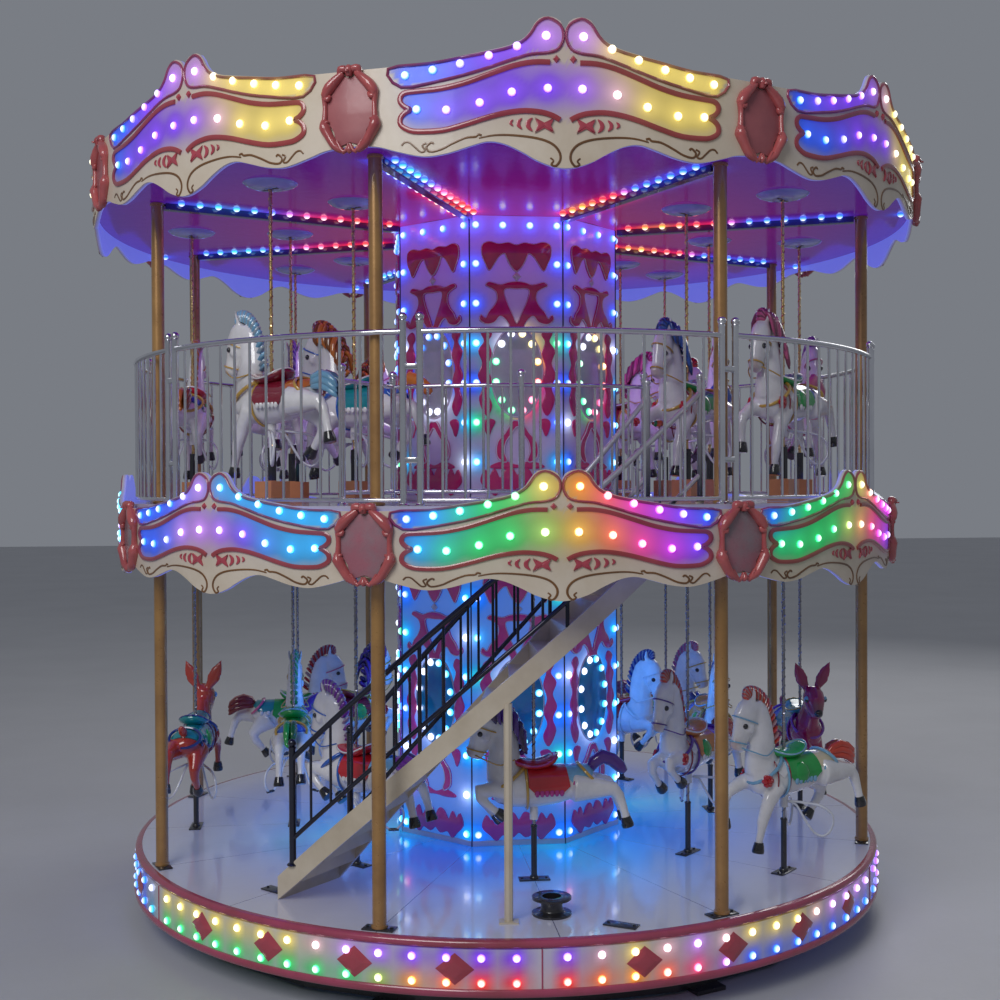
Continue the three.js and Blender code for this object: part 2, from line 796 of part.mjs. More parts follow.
export default carousel;
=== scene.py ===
# %% [markdown]
# # A double-deck fairground carousel
# The real carousel is a steel frame dressed in glossy moulded panels, lit by about twelve hundred small
# lamps, with animals that rise and fall on poles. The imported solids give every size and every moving
# body. This lesson dresses them: each cell models one piece of the dressing, gives it a finish and tells
# which body it rides on.

from contextlib import contextmanager
from math import acos, atan2, cos, degrees, exp, hypot, pi, radians, sin, sqrt

import bpy
import numpy as np
from mathutils import Matrix, Vector
from mathutils.kdtree import KDTree


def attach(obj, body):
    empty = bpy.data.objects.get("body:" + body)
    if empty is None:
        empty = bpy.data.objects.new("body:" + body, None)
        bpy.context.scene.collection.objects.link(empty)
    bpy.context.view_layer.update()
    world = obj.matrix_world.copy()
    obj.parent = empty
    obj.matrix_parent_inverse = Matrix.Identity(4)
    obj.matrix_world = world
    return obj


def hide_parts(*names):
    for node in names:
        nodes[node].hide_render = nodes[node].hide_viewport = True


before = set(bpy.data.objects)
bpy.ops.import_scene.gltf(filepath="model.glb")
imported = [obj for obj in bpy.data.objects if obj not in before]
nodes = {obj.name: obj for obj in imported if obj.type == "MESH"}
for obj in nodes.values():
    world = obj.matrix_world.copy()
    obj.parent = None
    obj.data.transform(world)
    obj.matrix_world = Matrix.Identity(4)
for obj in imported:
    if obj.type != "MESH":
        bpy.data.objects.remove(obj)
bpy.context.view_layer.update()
print("frame with", len(nodes), "nodes")

# %% [markdown]
# ## Sizes
# All sizes are metres, and mm() turns drawn points from millimetres. The front bay's middle is angle 0 and
# angles grow to the right, seen from the front. Eight bays go round, so most pieces are made once for one
# bay and copied by 45 degrees.

# %% Main sizes
BAYS = 8
BAY = 360 / BAYS
BAY_ANGLES = [BAY * i for i in range(BAYS)]
FLOOR = 0.52
DECK = FLOOR + 2.54
DECK_UNDER = DECK - 0.15
CEILING = FLOOR + 4.63
POST_CIRCLE = 2.75
COLUMN_CORNER = 0.907
COLUMN_FACE = COLUMN_CORNER * cos(radians(BAY / 2))


def around(angle, radius, height=0.0):
    """The point at that angle from the front, radius and height."""
    turn = radians(angle)
    return Vector((radius * sin(turn), -radius * cos(turn), height))


def outward(angle):
    """The level direction away from the middle at that angle."""
    return around(angle, 1.0)


def turn_by(angle):
    """A turn about an upright axis."""
    return Matrix.Rotation(radians(angle), 4, "Z")


def mm(*values):
    """Points or sizes given in millimetres."""
    return [tuple(part / 1000 for part in value) if isinstance(value, tuple) else value / 1000
            for value in values]


def place_at(angle, radius, height):
    """A place whose X runs to the right, Y inwards and Z up, seen from outside at that angle."""
    return Matrix.Translation(around(angle, radius, height)) @ turn_by(angle)


def ring_places(angles, radius, height=0.0):
    return [place_at(angle, radius, height) for angle in angles]

# %% [markdown]
# ## Bench tools
# A few helpers keep the later cells short. Everything starts deselected, because loading the frame leaves
# its nodes selected and an operator acts on all that is selected.

# %% Select and finish
def nothing_selected():
    bpy.ops.object.select_all(action="DESELECT")


def take(piece):
    """Only this piece is selected and active."""
    nothing_selected()
    piece.select_set(True)
    bpy.context.view_layer.objects.active = piece
    return piece


@contextmanager
def editing(piece):
    """Edit mode on this piece with all of it selected, and object mode again after."""
    take(piece)
    bpy.ops.object.mode_set(mode="EDIT")
    bpy.ops.mesh.select_all(action="SELECT")
    yield
    bpy.ops.object.mode_set(mode="OBJECT")


def modified(piece, kind, **settings):
    """Adds a modifier with its settings and applies it."""
    take(piece)
    bpy.ops.object.modifier_add(type=kind)
    for key, value in settings.items():
        setattr(piece.modifiers[-1], key, value)
    bpy.ops.object.modifier_apply(modifier=piece.modifiers[-1].name)
    return piece


def joined(pieces):
    """One object from several."""
    take(pieces[0])
    for piece in pieces:
        piece.select_set(True)
    if len(pieces) > 1:
        bpy.ops.object.join()
    return bpy.context.object


def apply_place(piece):
    """The piece's place, turn and size go into its mesh."""
    take(piece)
    bpy.ops.object.transform_apply(location=True, rotation=True, scale=True)
    return piece


def paint_with(piece, material):
    piece.data.materials.clear()
    piece.data.materials.append(material)


def finished(piece, name, material, body="carousel", smooth=40, stands_for=()):
    """Names a piece, smooths it, paints it and lets it ride on its body."""
    apply_place(piece)
    bpy.ops.object.shade_smooth_by_angle(angle=radians(smooth))
    piece.name = name
    piece.data.name = name
    paint_with(piece, material)
    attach(piece, body)
    if stands_for:
        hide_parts(*stands_for)
    return piece


def new_piece(data):
    """An object in the scene for a mesh or a curve."""
    piece = bpy.data.objects.new(data.name, data)
    bpy.context.scene.collection.objects.link(piece)
    return piece


def object_from(name, points, faces, edges=()):
    """A mesh object from points and faces."""
    mesh = bpy.data.meshes.new(name)
    mesh.from_pydata(points, edges, faces)
    mesh.update()
    return new_piece(mesh)


def points_of(piece):
    """The piece's vertices as rows of x, y, z."""
    flat = np.empty(len(piece.data.vertices) * 3)
    piece.data.vertices.foreach_get("co", flat)
    return flat.reshape(-1, 3)


def move_points(piece, points):
    piece.data.vertices.foreach_set("co", np.asarray(points).ravel())
    piece.data.update()


def kept_colours(piece, name):
    """The colours kept in a named attribute, a row for each vertex."""
    flat = np.empty(len(piece.data.vertices) * 4)
    piece.data.color_attributes[name].data.foreach_get("color", flat)
    return flat.reshape(-1, 4)


def keep_colours(piece, name, rows):
    """Keeps a colour for each vertex in a named attribute."""
    kept = piece.data.color_attributes
    attribute = kept.get(name) or kept.new(name, "FLOAT_COLOR", "POINT")
    attribute.data.foreach_set("color", rows.ravel())
    return piece

# %% [markdown]
# ## Copies
# What repeats is modelled once, as a seed. Its copies share no mesh with it: their points and faces go into
# one new mesh. A copy can carry a colour in the attribute "tint", brightest where the seed is highest.

# %% Copy a seed to many places
def moved_by(place, points):
    return points @ np.array(place.to_3x3()).T + np.array(place.translation)


def repeated(name, seed, moved):
    """One mesh from several sets of a seed's moved points."""
    count = len(seed.data.vertices)
    polygons = [tuple(polygon.vertices) for polygon in seed.data.polygons]
    faces = [tuple(v + i * count for v in polygon) for i in range(len(moved)) for polygon in polygons]
    return object_from(name, np.vstack(moved).tolist(), faces)


def copies(name, seed, places, tints=None):
    points = points_of(seed)
    piece = repeated(name, seed, [moved_by(place, points) for place in places])
    if tints is not None:
        height = points[:, 2:3] / points[:, 2].max()
        core = np.clip(height, 0, 1) ** 2.5
        rows = []
        for tint in tints:
            colour = np.array(tint)[None, :] * (1 - core) + core * (0.75 + 0.25 * np.array(tint)[None, :])
            rows.append(np.hstack([colour, np.ones((len(points), 1))]))
        keep_colours(piece, "tint", np.vstack(rows))
    return piece


def discard(*pieces):
    for piece in pieces:
        bpy.data.objects.remove(piece)


def spread(seed, places):
    """Copies of a seed at places; the seed itself is discarded."""
    piece = copies("copies", seed, places)
    discard(seed)
    return piece

# %% [markdown]
# ## Lines, plates and limbs
# Mouldings and painted scrolls are round lines drawn on a flat sheet, where X runs along the wall, Z up and
# -Y outwards. Plates are filled outlines with some depth. Limbs are spheres whose rings are moved along a
# path and resized, which suits animals, leaves and cushions.

# %% Draw on a flat sheet
def flowing(points, steps=5, closed=False):
    """A smooth line through the points."""
    points = [np.array(p, dtype=float) for p in points]
    count = len(points)
    out = []
    for i in range(count if closed else count - 1):
        a = points[i - 1] if closed or i > 0 else points[0]
        b, c = points[i], points[(i + 1) % count]
        d = points[(i + 2) % count] if closed or i + 2 < count else points[-1]
        for k in range(steps):
            t = k / steps
            out.append(0.5 * (2 * b + (c - a) * t + (2 * a - 5 * b + 4 * c - d) * t * t
                              + (3 * b - a - 3 * c + d) * t ** 3))
    if not closed:
        out.append(points[-1])
    return out


def line(points, thickness, closed=False, flat=1.0, steps=5, taper=None, sides=1):
    """A round line through (x, z) or (x, y, z) points. taper gives the width along it."""
    smooth = flowing(points, steps, closed)
    curve = bpy.data.curves.new("line", "CURVE")
    curve.dimensions = "3D"
    curve.bevel_depth = thickness / 2
    curve.bevel_resolution = sides
    curve.use_fill_caps = True
    spline = curve.splines.new("POLY")
    spline.points.add(len(smooth) - 1)
    for i, p in enumerate(smooth):
        x, y, z = p if len(p) == 3 else (p[0], 0.0, p[1])
        spline.points[i].co = (x, y, z, 1)
        if taper:
            spline.points[i].radius = taper(i / (len(smooth) - 1))
    spline.use_cyclic_u = closed
    piece = take(new_piece(curve))
    bpy.ops.object.convert(target="MESH")
    if flat != 1.0:
        moved = points_of(piece)
        moved[:, 1] *= flat
        move_points(piece, moved)
    return piece


def plate(outline, depth, smooth=True, steps=4, bevel=0.003, holes=()):
    """A filled outline of (x, z) points that stands depth proud of the sheet, with a soft edge."""
    curve = bpy.data.curves.new("plate", "CURVE")
    curve.dimensions = "2D"
    curve.fill_mode = "BOTH"
    curve.extrude = max(depth / 2 - bevel, 0.0005)
    curve.bevel_depth = bevel
    curve.bevel_resolution = 1
    for loop in (outline, *holes):
        points = flowing(loop, steps, closed=True) if smooth else loop
        spline = curve.splines.new("POLY")
        spline.points.add(len(points) - 1)
        for i, p in enumerate(points):
            spline.points[i].co = (p[0], p[1], 0, 1)
        spline.use_cyclic_u = True
    piece = take(new_piece(curve))
    bpy.ops.object.convert(target="MESH")
    moved = points_of(piece)
    move_points(piece, np.column_stack([moved[:, 0], -(moved[:, 2] + depth / 2), moved[:, 1]]))
    with editing(piece):
        bpy.ops.mesh.remove_doubles(threshold=0.0001)
        bpy.ops.mesh.normals_make_consistent(inside=False)
    return piece


def limb(path, widths, heights=None, sides=12, up=(0, 0, 1)):
    """A sphere whose rings are moved to the path's points and resized: a smooth closed limb."""
    heights = widths if heights is None else heights
    path = [Vector(p) for p in path]
    rings = len(path) + 1
    bpy.ops.mesh.primitive_uv_sphere_add(segments=sides, ring_count=rings, radius=1)
    piece = bpy.context.object
    ends = [path[0] + (path[0] - path[1]) * 0.15, path[-1] + (path[-1] - path[-2]) * 0.15]
    for vertex in piece.data.vertices:
        ring = round(acos(max(-1, min(1, vertex.co.z))) * rings / pi)
        if ring in (0, rings):
            vertex.co = ends[0 if ring == 0 else 1]
            continue
        i = ring - 1
        along = (path[min(i + 1, len(path) - 1)] - path[max(i - 1, 0)]).normalized()
        side = along.cross(Vector(up)).normalized()
        top = side.cross(along).normalized()
        turn = atan2(vertex.co.y, vertex.co.x)
        vertex.co = path[i] + side * cos(turn) * widths[i] + top * sin(turn) * heights[i]
    with editing(piece):
        bpy.ops.mesh.normals_make_consistent(inside=False)
    return piece


def spun(profile, steps=96, closed=True):
    """A profile of (radius, height) points spun about the middle axis."""
    count = len(profile)
    edges = [(i, i + 1) for i in range(count - 1)] + ([(count - 1, 0)] if closed else [])
    piece = object_from("profile", [(radius, 0, height) for radius, height in profile], [], edges)
    with editing(piece):
        bpy.ops.mesh.spin(steps=steps, angle=2 * pi, center=(0, 0, 0), axis=(0, 0, 1))
        bpy.ops.mesh.select_all(action="SELECT")
        bpy.ops.mesh.remove_doubles(threshold=0.00001)
        bpy.ops.mesh.normals_make_consistent(inside=False)
    return piece


def bar(start, end, thickness, sides=12):
    """A straight round bar between two points."""
    start, end = Vector(start), Vector(end)
    middle = (start + end) / 2
    bpy.ops.mesh.primitive_cylinder_add(vertices=sides, radius=thickness / 2, depth=(end - start).length,
                                        location=middle,
                                        rotation=(end - start).to_track_quat("Z", "Y").to_euler())
    return apply_place(bpy.context.object)


def block(low, high, bevel=0.0):
    """A box between two corners, with bevelled edges."""
    low, high = Vector(low), Vector(high)
    bpy.ops.mesh.primitive_cube_add(size=1, location=(low + high) / 2)
    piece = bpy.context.object
    piece.scale = high - low
    apply_place(piece)
    if bevel:
        with editing(piece):
            bpy.ops.mesh.bevel(offset=bevel, segments=2, affect="EDGES")
    return piece


def round_wall(name, flat, radius, angles, base, squeeze=1.0):
    """Wraps a flat sheet's piece round a wall of that radius, once for each angle."""
    points = points_of(flat)
    moved = []
    for angle in angles:
        turn = radians(angle) + points[:, 0] / radius
        out = radius - points[:, 1]
        moved.append(np.column_stack([out * np.sin(turn), -out * np.cos(turn),
                                      base + points[:, 2] * squeeze]))
    piece = repeated(name, flat, moved)
    discard(flat)
    return piece


def mirrored(flat):
    """The sheet's piece with its mirror image across X."""
    return modified(flat, "MIRROR", use_axis=(True, False, False), use_clip=False, merge_threshold=0.0002)

# %% [markdown]
# ## Finishes
# Nearly everything on a carousel is gloss paint or gel coat over a moulding. It never is one flat colour:
# it yellows in clouds, its gloss varies from wiping, and the surface ripples slightly. One shader group
# gives all paints that variation, each with its own colours.

# %% Shader helpers
def node_in(tree, kind, values=(), **settings):
    """A new shader node. An input's value is a number, a colour or another node's output."""
    node = tree.nodes.new(kind)
    for key, value in settings.items():
        setattr(node, key, value)
    for socket, value in dict(values).items():
        if isinstance(value, bpy.types.NodeSocket):
            tree.links.new(value, node.inputs[socket])
        else:
            node.inputs[socket].default_value = value
    return node


def mixed(tree, share, first, second):
    """The mix of two colours."""
    return node_in(tree, "ShaderNodeMix", {0: share, 6: first, 7: second}, data_type="RGBA").outputs[2]


def reckoned(tree, operation, *values):
    """The result of one sum on numbers or other nodes' outputs."""
    return node_in(tree, "ShaderNodeMath", dict(enumerate(values)), operation=operation).outputs[0]


def new_group(name, inputs, outputs):
    """A shader group. Returns it, the sockets it is given and the sockets it fills."""
    group = bpy.data.node_groups.new(name, "ShaderNodeTree")
    for label, kind in inputs.items():
        group.interface.new_socket(label, in_out="INPUT", socket_type="NodeSocket" + kind)
    for label, kind in outputs.items():
        group.interface.new_socket(label, in_out="OUTPUT", socket_type="NodeSocket" + kind)
    return group, group.nodes.new("NodeGroupInput").outputs, group.nodes.new("NodeGroupOutput").inputs


def paint_group():
    """Clouded colour, uneven gloss and a faint ripple."""
    group, given, made = new_group(
        "Moulded gloss", {"Paint": "Color", "Aged": "Color", "Scale": "Float", "Dullness": "Float"},
        {"Colour": "Color", "Roughness": "Float", "Normal": "Vector"})
    place = node_in(group, "ShaderNodeTexCoord").outputs["Object"]

    def noise(**values):
        return node_in(group, "ShaderNodeTexNoise", {"Vector": place, **values}).outputs["Fac"]

    clouds = noise(Scale=given["Scale"], Detail=5.0, Roughness=0.62)
    amount = node_in(group, "ShaderNodeMapRange", {"Value": clouds, "From Min": 0.38, "From Max": 0.72})
    colour = mixed(group, amount.outputs["Result"], given["Paint"], given["Aged"])
    wiped = reckoned(group, "MULTIPLY", noise(Scale=26.0, Detail=3.0), 0.16)
    rough = node_in(group, "ShaderNodeMath", {0: wiped, 1: given["Dullness"]}, operation="ADD",
                    use_clamp=True)
    ripple = noise(Scale=9.0, Detail=2.0)
    bump = node_in(group, "ShaderNodeBump", {"Height": ripple, "Strength": 0.25, "Distance": 0.004})
    group.links.new(colour, made["Colour"])
    group.links.new(rough.outputs[0], made["Roughness"])
    group.links.new(bump.outputs["Normal"], made["Normal"])
    return group


MOULDED_GLOSS = paint_group()


def new_material(name):
    """A material with its node tree and its shader's inputs."""
    material = bpy.data.materials.new(name)
    material.use_nodes = True
    return material, material.node_tree, material.node_tree.nodes["Principled BSDF"].inputs


def gloss(name, paint, aged=None, dullness=0.12, scale=3.0, coat=0.6, metal=0.0, colours_from=None,
          glow=0.0):
    """A painted finish. colours_from names an attribute that gives the paint; glow lights its "glow"."""
    material, tree, inputs = new_material(name)
    paints = {"Paint": (*paint, 1), "Aged": (*(aged or tuple(c * 0.72 for c in paint)), 1)}
    if colours_from:
        colour = node_in(tree, "ShaderNodeAttribute", attribute_name=colours_from).outputs["Color"]
        paints = {"Paint": colour, "Aged": mixed(tree, 0.22, colour, (0, 0, 0, 1))}
    made = node_in(tree, "ShaderNodeGroup", {**paints, "Scale": scale, "Dullness": dullness},
                   node_tree=MOULDED_GLOSS).outputs
    base = made["Colour"]
    if glow:
        light = node_in(tree, "ShaderNodeAttribute", attribute_name="glow").outputs
        base = mixed(tree, light["Alpha"], base, light["Color"])
        tree.links.new(light["Color"], inputs["Emission Color"])
        inputs["Emission Strength"].default_value = glow
        material.cycles.emission_sampling = "NONE"
    for label, socket in (("Base Color", base), ("Roughness", made["Roughness"]),
                          ("Normal", made["Normal"])):
        tree.links.new(socket, inputs[label])
    for label, value in (("Coat Weight", coat), ("Coat Roughness", 0.06), ("Metallic", metal)):
        inputs[label].default_value = value
    return material

# %% Paints
rose = gloss("rose_gloss", (0.42, 0.06, 0.13), (0.30, 0.05, 0.07))
white_panel = gloss("white_panel", (0.72, 0.72, 0.78), (0.60, 0.58, 0.60), dullness=0.10, glow=1.0)
cream = gloss("cream_gloss", (0.70, 0.61, 0.50), (0.60, 0.50, 0.38), dullness=0.30, coat=0.15, glow=1.0)
black = gloss("black_enamel", (0.012, 0.012, 0.016), (0.03, 0.028, 0.03), dullness=0.22)
gold_brown = gloss("gold_brown_tube", (0.46, 0.25, 0.08), (0.30, 0.15, 0.05), dullness=0.22, metal=0.35,
                   coat=0.8)
scroll_gold = gloss("scroll_paint", (0.20, 0.085, 0.02), (0.10, 0.04, 0.012), dullness=0.3)
chrome = gloss("bright_tube", (0.82, 0.82, 0.85), (0.66, 0.66, 0.70), dullness=0.04, metal=1.0, coat=0.0)
print("paints", len(bpy.data.materials))

# %% [markdown]
# ## Lamps
# Every lamp is a small frosted dome. Its middle burns white and its edge shows the colour.
# One dome is modelled and copied, and each copy keeps its own colour. Round each lamp the panel shines in
# the lamp's colour: that halo is worked out once for each point of the panel and kept in its "glow".

# %% Model one lamp
def lamp_seed():
    bpy.ops.mesh.primitive_uv_sphere_add(segments=10, ring_count=8, radius=0.025)
    dome = bpy.context.object
    with editing(dome):
        bpy.ops.mesh.bisect(plane_co=(0, 0, -0.001), plane_no=(0, 0, 1), clear_inner=True, use_fill=True)
        bpy.ops.mesh.select_all(action="SELECT")
        bpy.ops.transform.resize(value=(1, 1, 0.8))
    return dome


LAMP = lamp_seed()


def lamp_glass():
    """Lit frosted glass in each lamp's own colour."""
    material, tree, inputs = new_material("lamp_glass")
    tint = node_in(tree, "ShaderNodeAttribute", attribute_name="tint").outputs["Color"]
    place = node_in(tree, "ShaderNodeTexCoord").outputs["Object"]
    grain = node_in(tree, "ShaderNodeTexNoise",
                    {"Vector": place, "Scale": 90.0, "Detail": 2.0}).outputs["Fac"]
    frost = node_in(tree, "ShaderNodeMapRange", {"Value": grain, "To Min": 0.2, "To Max": 0.4})
    tree.links.new(frost.outputs["Result"], inputs["Roughness"])
    tree.links.new(tint, inputs["Base Color"])
    tree.links.new(tint, inputs["Emission Color"])
    inputs["Emission Strength"].default_value = LAMP_POWER
    material.cycles.emission_sampling = "NONE"
    return material


LAMP_POWER = 1.9
LAMP_GLASS = lamp_glass()

BLUE = (0.02, 0.22, 1.0)
CYAN = (0.03, 0.55, 0.95)
GREEN = (0.03, 0.75, 0.28)
YELLOW = (0.95, 0.80, 0.30)
AMBER = (1.0, 0.48, 0.05)
RED = (1.0, 0.08, 0.05)
PINK = (1.0, 0.16, 0.35)
MAGENTA = (0.85, 0.08, 0.85)
VIOLET = (0.36, 0.12, 1.0)
LILAC = (0.75, 0.45, 1.0)
WHITE = (0.80, 0.85, 1.0)


def set_lamps(name, spots, size=1.0, body="carousel"):
    """Lamps at spots of (point, outward direction, colour)."""
    places = []
    for point, out, colour in spots:
        turn = Vector(out).to_track_quat("Z", "Y").to_matrix().to_4x4()
        places.append(Matrix.Translation(Vector(point)) @ turn @ Matrix.Scale(size, 4))
    piece = copies(name, LAMP, places, [colour for point, out, colour in spots])
    return finished(piece, name, LAMP_GLASS, body, smooth=60)


def glow_on(piece, spots, reach=0.07, power=0.6, share=None):
    """Keeps the lamps' halos on the piece: each point adds up the lamps near it, fading with distance.

    share, if given, says how much of it each point takes."""
    tree = KDTree(len(spots))
    for i, spot in enumerate(spots):
        tree.insert(spot[0], i)
    tree.balance()
    colours = np.array([spot[2] for spot in spots]) ** 1.5
    light = np.zeros((len(piece.data.vertices), 4))
    for vertex in piece.data.vertices:
        near = tree.find_range(vertex.co, reach * 4)
        if near:
            index = [i for point, i, distance in near]
            far = np.array([distance for point, i, distance in near])
            fade = power / (1 + (far / reach) ** 2.2) * np.clip(1.3 - far / (reach * 4) * 1.3, 0, 1)
            light[vertex.index, :3] = fade @ colours[index]
            light[vertex.index, 3] = min(fade.sum() * 2.4, 0.90)
    if share is not None:
        light *= share[:, None]
    return keep_colours(piece, "glow", light)


print("lamp has", len(LAMP.data.polygons), "faces")

# %% [markdown]
# ## Lamp colours
# The controller runs chases of colour round the rings, so neighbouring bays differ. Each storey has a few
# colour runs, a letter for each stop from a bay's left end to its right end, and the bays take turns with
# them.

# %% Colour runs
def run_colour(stops, share):
    """The colour at a share from 0 to 1 along a run of colour stops."""
    place = max(0.0, min(1.0, share)) * (len(stops) - 1)
    low = min(int(place), len(stops) - 2)
    part = place - low
    return tuple(a * (1 - part) + b * part for a, b in zip(stops[low], stops[low + 1]))


LETTERS = {"B": BLUE, "C": CYAN, "G": GREEN, "Y": YELLOW, "A": AMBER, "R": RED, "P": PINK, "M": MAGENTA,
           "V": VIOLET, "L": LILAC, "W": WHITE}


def run(letters):
    """A run of colour stops, one for each letter."""
    return [LETTERS[letter] for letter in letters]


UPPER_BANDS = [run("BBVVLLYYYY"), run("BVVVLYYYY")]
UPPER_SIGNS = [run("BVVVVLYYY"), run("BBVVVYYY")]
LOWER_BANDS = [run("BCGGYAPMVB"), run("BGGGYPMM"), run("BBBLCCCC")]
LOWER_SIGNS = [run("CGGGYAPMV"), run("GGGYPMV"), run("BBLLVCC")]
RIM_TOP = run("BBBBYYYYLVVVYLYYLLVVBBB")
RIM_LOW = run("BBBBGGGGGARRAPBBBBBVBCC")

# %% [markdown]
# ## The lit rim
# The platform's edge is a rose-red bull-nose over a white band with two rows of lamps, made in six
# sections of four raised diamonds each, with a red trim at the foot. A profile spun about the middle gives
# smooth rings; the diamonds are four-sided cones cut low.

# %% Bull-nose, band and foot trim
FLOOR_EDGE = 2.81
RIM = 2.858
NOSING_DROP = 0.053
BAND_LOW = FLOOR - 0.287
SKIRT_LOW = 0.17 + 0.015
RIM_SECTIONS = 6
SECTION_START = -2.25
SECTION = 360 / RIM_SECTIONS
SECTION_LAMPS = 14
LAMP_MARGIN = 3.0
# The colour runs of the rim start on the left and repeat after a little more than the front half.
RUN_START = -95
RUN_SPAN = 190


def bull_nose():
    profile = [(FLOOR_EDGE + 0.001, FLOOR), (FLOOR_EDGE + 0.001, FLOOR - NOSING_DROP)]
    for i in range(9):
        turn = radians(-90 + 180 * i / 8)
        profile.append((RIM - 0.024 + 0.026 * cos(turn),
                        FLOOR - NOSING_DROP / 2 + NOSING_DROP / 2 * sin(turn)))
    return spun(profile, 192)


def lamp_band():
    rows = np.linspace(FLOOR - NOSING_DROP - 0.0005, BAND_LOW, 13)
    profile = [(RIM - 0.006, height) for height in rows]
    profile += [(FLOOR_EDGE + 0.003, BAND_LOW), (FLOOR_EDGE + 0.003, FLOOR - NOSING_DROP - 0.0005)]
    return spun(profile, 288)


def foot_trim():
    profile = [(FLOOR_EDGE + 0.003, BAND_LOW - 0.0005), (RIM + 0.002, BAND_LOW - 0.0005),
               (RIM + 0.010, BAND_LOW - 0.008), (RIM + 0.012, BAND_LOW - 0.024),
               (RIM + 0.009, BAND_LOW - 0.040), (RIM, SKIRT_LOW), (FLOOR_EDGE + 0.003, SKIRT_LOW)]
    return spun(profile, 192)


rim_spots = []
lamp_step = (SECTION - 2 * LAMP_MARGIN) / (SECTION_LAMPS - 1)
for height, stops in ((FLOOR - 0.104, RIM_TOP), (FLOOR - 0.250, RIM_LOW)):
    for i in range(RIM_SECTIONS * SECTION_LAMPS):
        section, lamp = divmod(i, SECTION_LAMPS)
        angle = SECTION_START + SECTION * section + LAMP_MARGIN + lamp_step * lamp
        colour = run_colour(stops, ((angle - RUN_START) % 360 / RUN_SPAN) % 1)
        rim_spots.append((around(angle, RIM - 0.006, height), outward(angle), colour))
finished(glow_on(lamp_band(), rim_spots, 0.055), "rim_lamp_band", white_panel,
         stands_for=("rim_skirt",))
finished(bull_nose(), "rim_bull_nose", rose, stands_for=("rim_nosing",))
finished(foot_trim(), "rim_foot_trim", rose)
set_lamps("rim_lamps", rim_spots)

# %% Diamonds and section joints
def diamond(width, height, depth):
    """A faceted diamond with a flat top."""
    bpy.ops.mesh.primitive_cone_add(vertices=4, radius1=1, radius2=0.5, depth=depth)
    piece = bpy.context.object
    with editing(piece):
        bpy.ops.mesh.bevel(offset=0.002, segments=1, affect="EDGES")
    piece.scale = (width / 2, height / 2, 1)
    apply_place(piece)
    moved = points_of(piece)
    move_points(piece, np.column_stack([moved[:, 0], -(moved[:, 2] + depth / 2), moved[:, 1]]))
    return piece


DIAMOND_MIDDLE = 31.1
DIAMOND_STEP = 12.4
places = []
for section in range(RIM_SECTIONS):
    middle = SECTION_START + DIAMOND_MIDDLE + SECTION * section
    for step in (-1.5, -0.5, 0.5, 1.5):
        places.append(place_at(middle + DIAMOND_STEP * step, RIM - 0.005, FLOOR - 0.170))
salmon = gloss("salmon_gloss", (0.50, 0.07, 0.10), (0.36, 0.045, 0.07), dullness=0.14)
finished(spread(diamond(0.232, 0.19, 0.016), places), "rim_diamonds", salmon, smooth=20)
joint = block((-0.004, -0.004, SKIRT_LOW + 0.02), (0.004, 0.004, FLOOR - NOSING_DROP))
places = [place_at(SECTION_START + SECTION * i, RIM - 0.005, 0) for i in range(RIM_SECTIONS)]
finished(spread(joint, places), "rim_joints", rose)
print("rim lamps", len(rim_spots))

# %% [markdown]
# ## The cornices
# Each bay's cornice is one moulding: a cream shield with two crests, a lamp band on each side bordered by a
# raised bead, and a long cartouche with a thick rose bead whose ends are drawn in like a bracket. It is
# drawn flat, half a bay only, then mirrored and wrapped round the ring.

# %% The drawing of half a bay, from the bay's middle and down from the crest
TOP_EDGE = mm((0, -72), (12, -40), (45, -12), (95, 0), (145, -13), (178, -52), (205, -98), (250, -135),
              (343, -172), (555, -214), (757, -246), (1000, -263), (1300, -266))
LOW_EDGE = mm((0, -846), (65, -838), (158, -805), (240, -759), (343, -712), (436, -698), (534, -722),
              (653, -757), (762, -773), (844, -766), (969, -734), (1083, -703), (1300, -690))
BAND_LINE = mm((1000, -274), (925, -381), (692, -354), (490, -307), (289, -242), (190, -214), (95, -204),
               (35, -180), (8, -115), (25, -50), (95, -12), (152, -40), (192, -100), (245, -148),
               (343, -187), (555, -226), (757, -257))
SIGN_TOP = mm((85, -258), (180, -259), (289, -280), (425, -326), (555, -370), (692, -399), (828, -409),
              (900, -414), (928, -436), (928, -468), (900, -496), (872, -510), (900, -524), (928, -552),
              (928, -592), (885, -622), (828, -634), (692, -633), (561, -603), (425, -563), (316, -539),
              (223, -530), (131, -538), (70, -556), (30, -578))
SCROLL = mm((85, -790), (68, -806), (80, -826), (55, -835), (30, -800), (35, -755), (76, -711), (158, -682),
            (289, -666), (397, -665), (485, -680))
SCROLL_KNOT = mm((470, -665), (490, -660), (505, -672), (561, -677), (637, -708), (700, -738), (762, -748),
                 (782, -722), (755, -697), (740, -706))
SCROLL_TAIL = mm((925, -708), (905, -690), (877, -694), (845, -722), (815, -747), (790, -742), (805, -712),
                 (782, -700))
BAND_LAMPS = mm((901, -316), (743, -294), (588, -264), (427, -222), (270, -170), (106, -109))
SIGN_LAMPS = mm((836, -510), (667, -519), (479, -483), (300, -425), (98, -402))
PANEL = 0.03


def edge_height(edge, along):
    """The height of a drawn edge at a distance from the bay's middle."""
    smooth = np.array(flowing(edge, 6))
    return np.interp(abs(along), smooth[:, 0], smooth[:, 1])


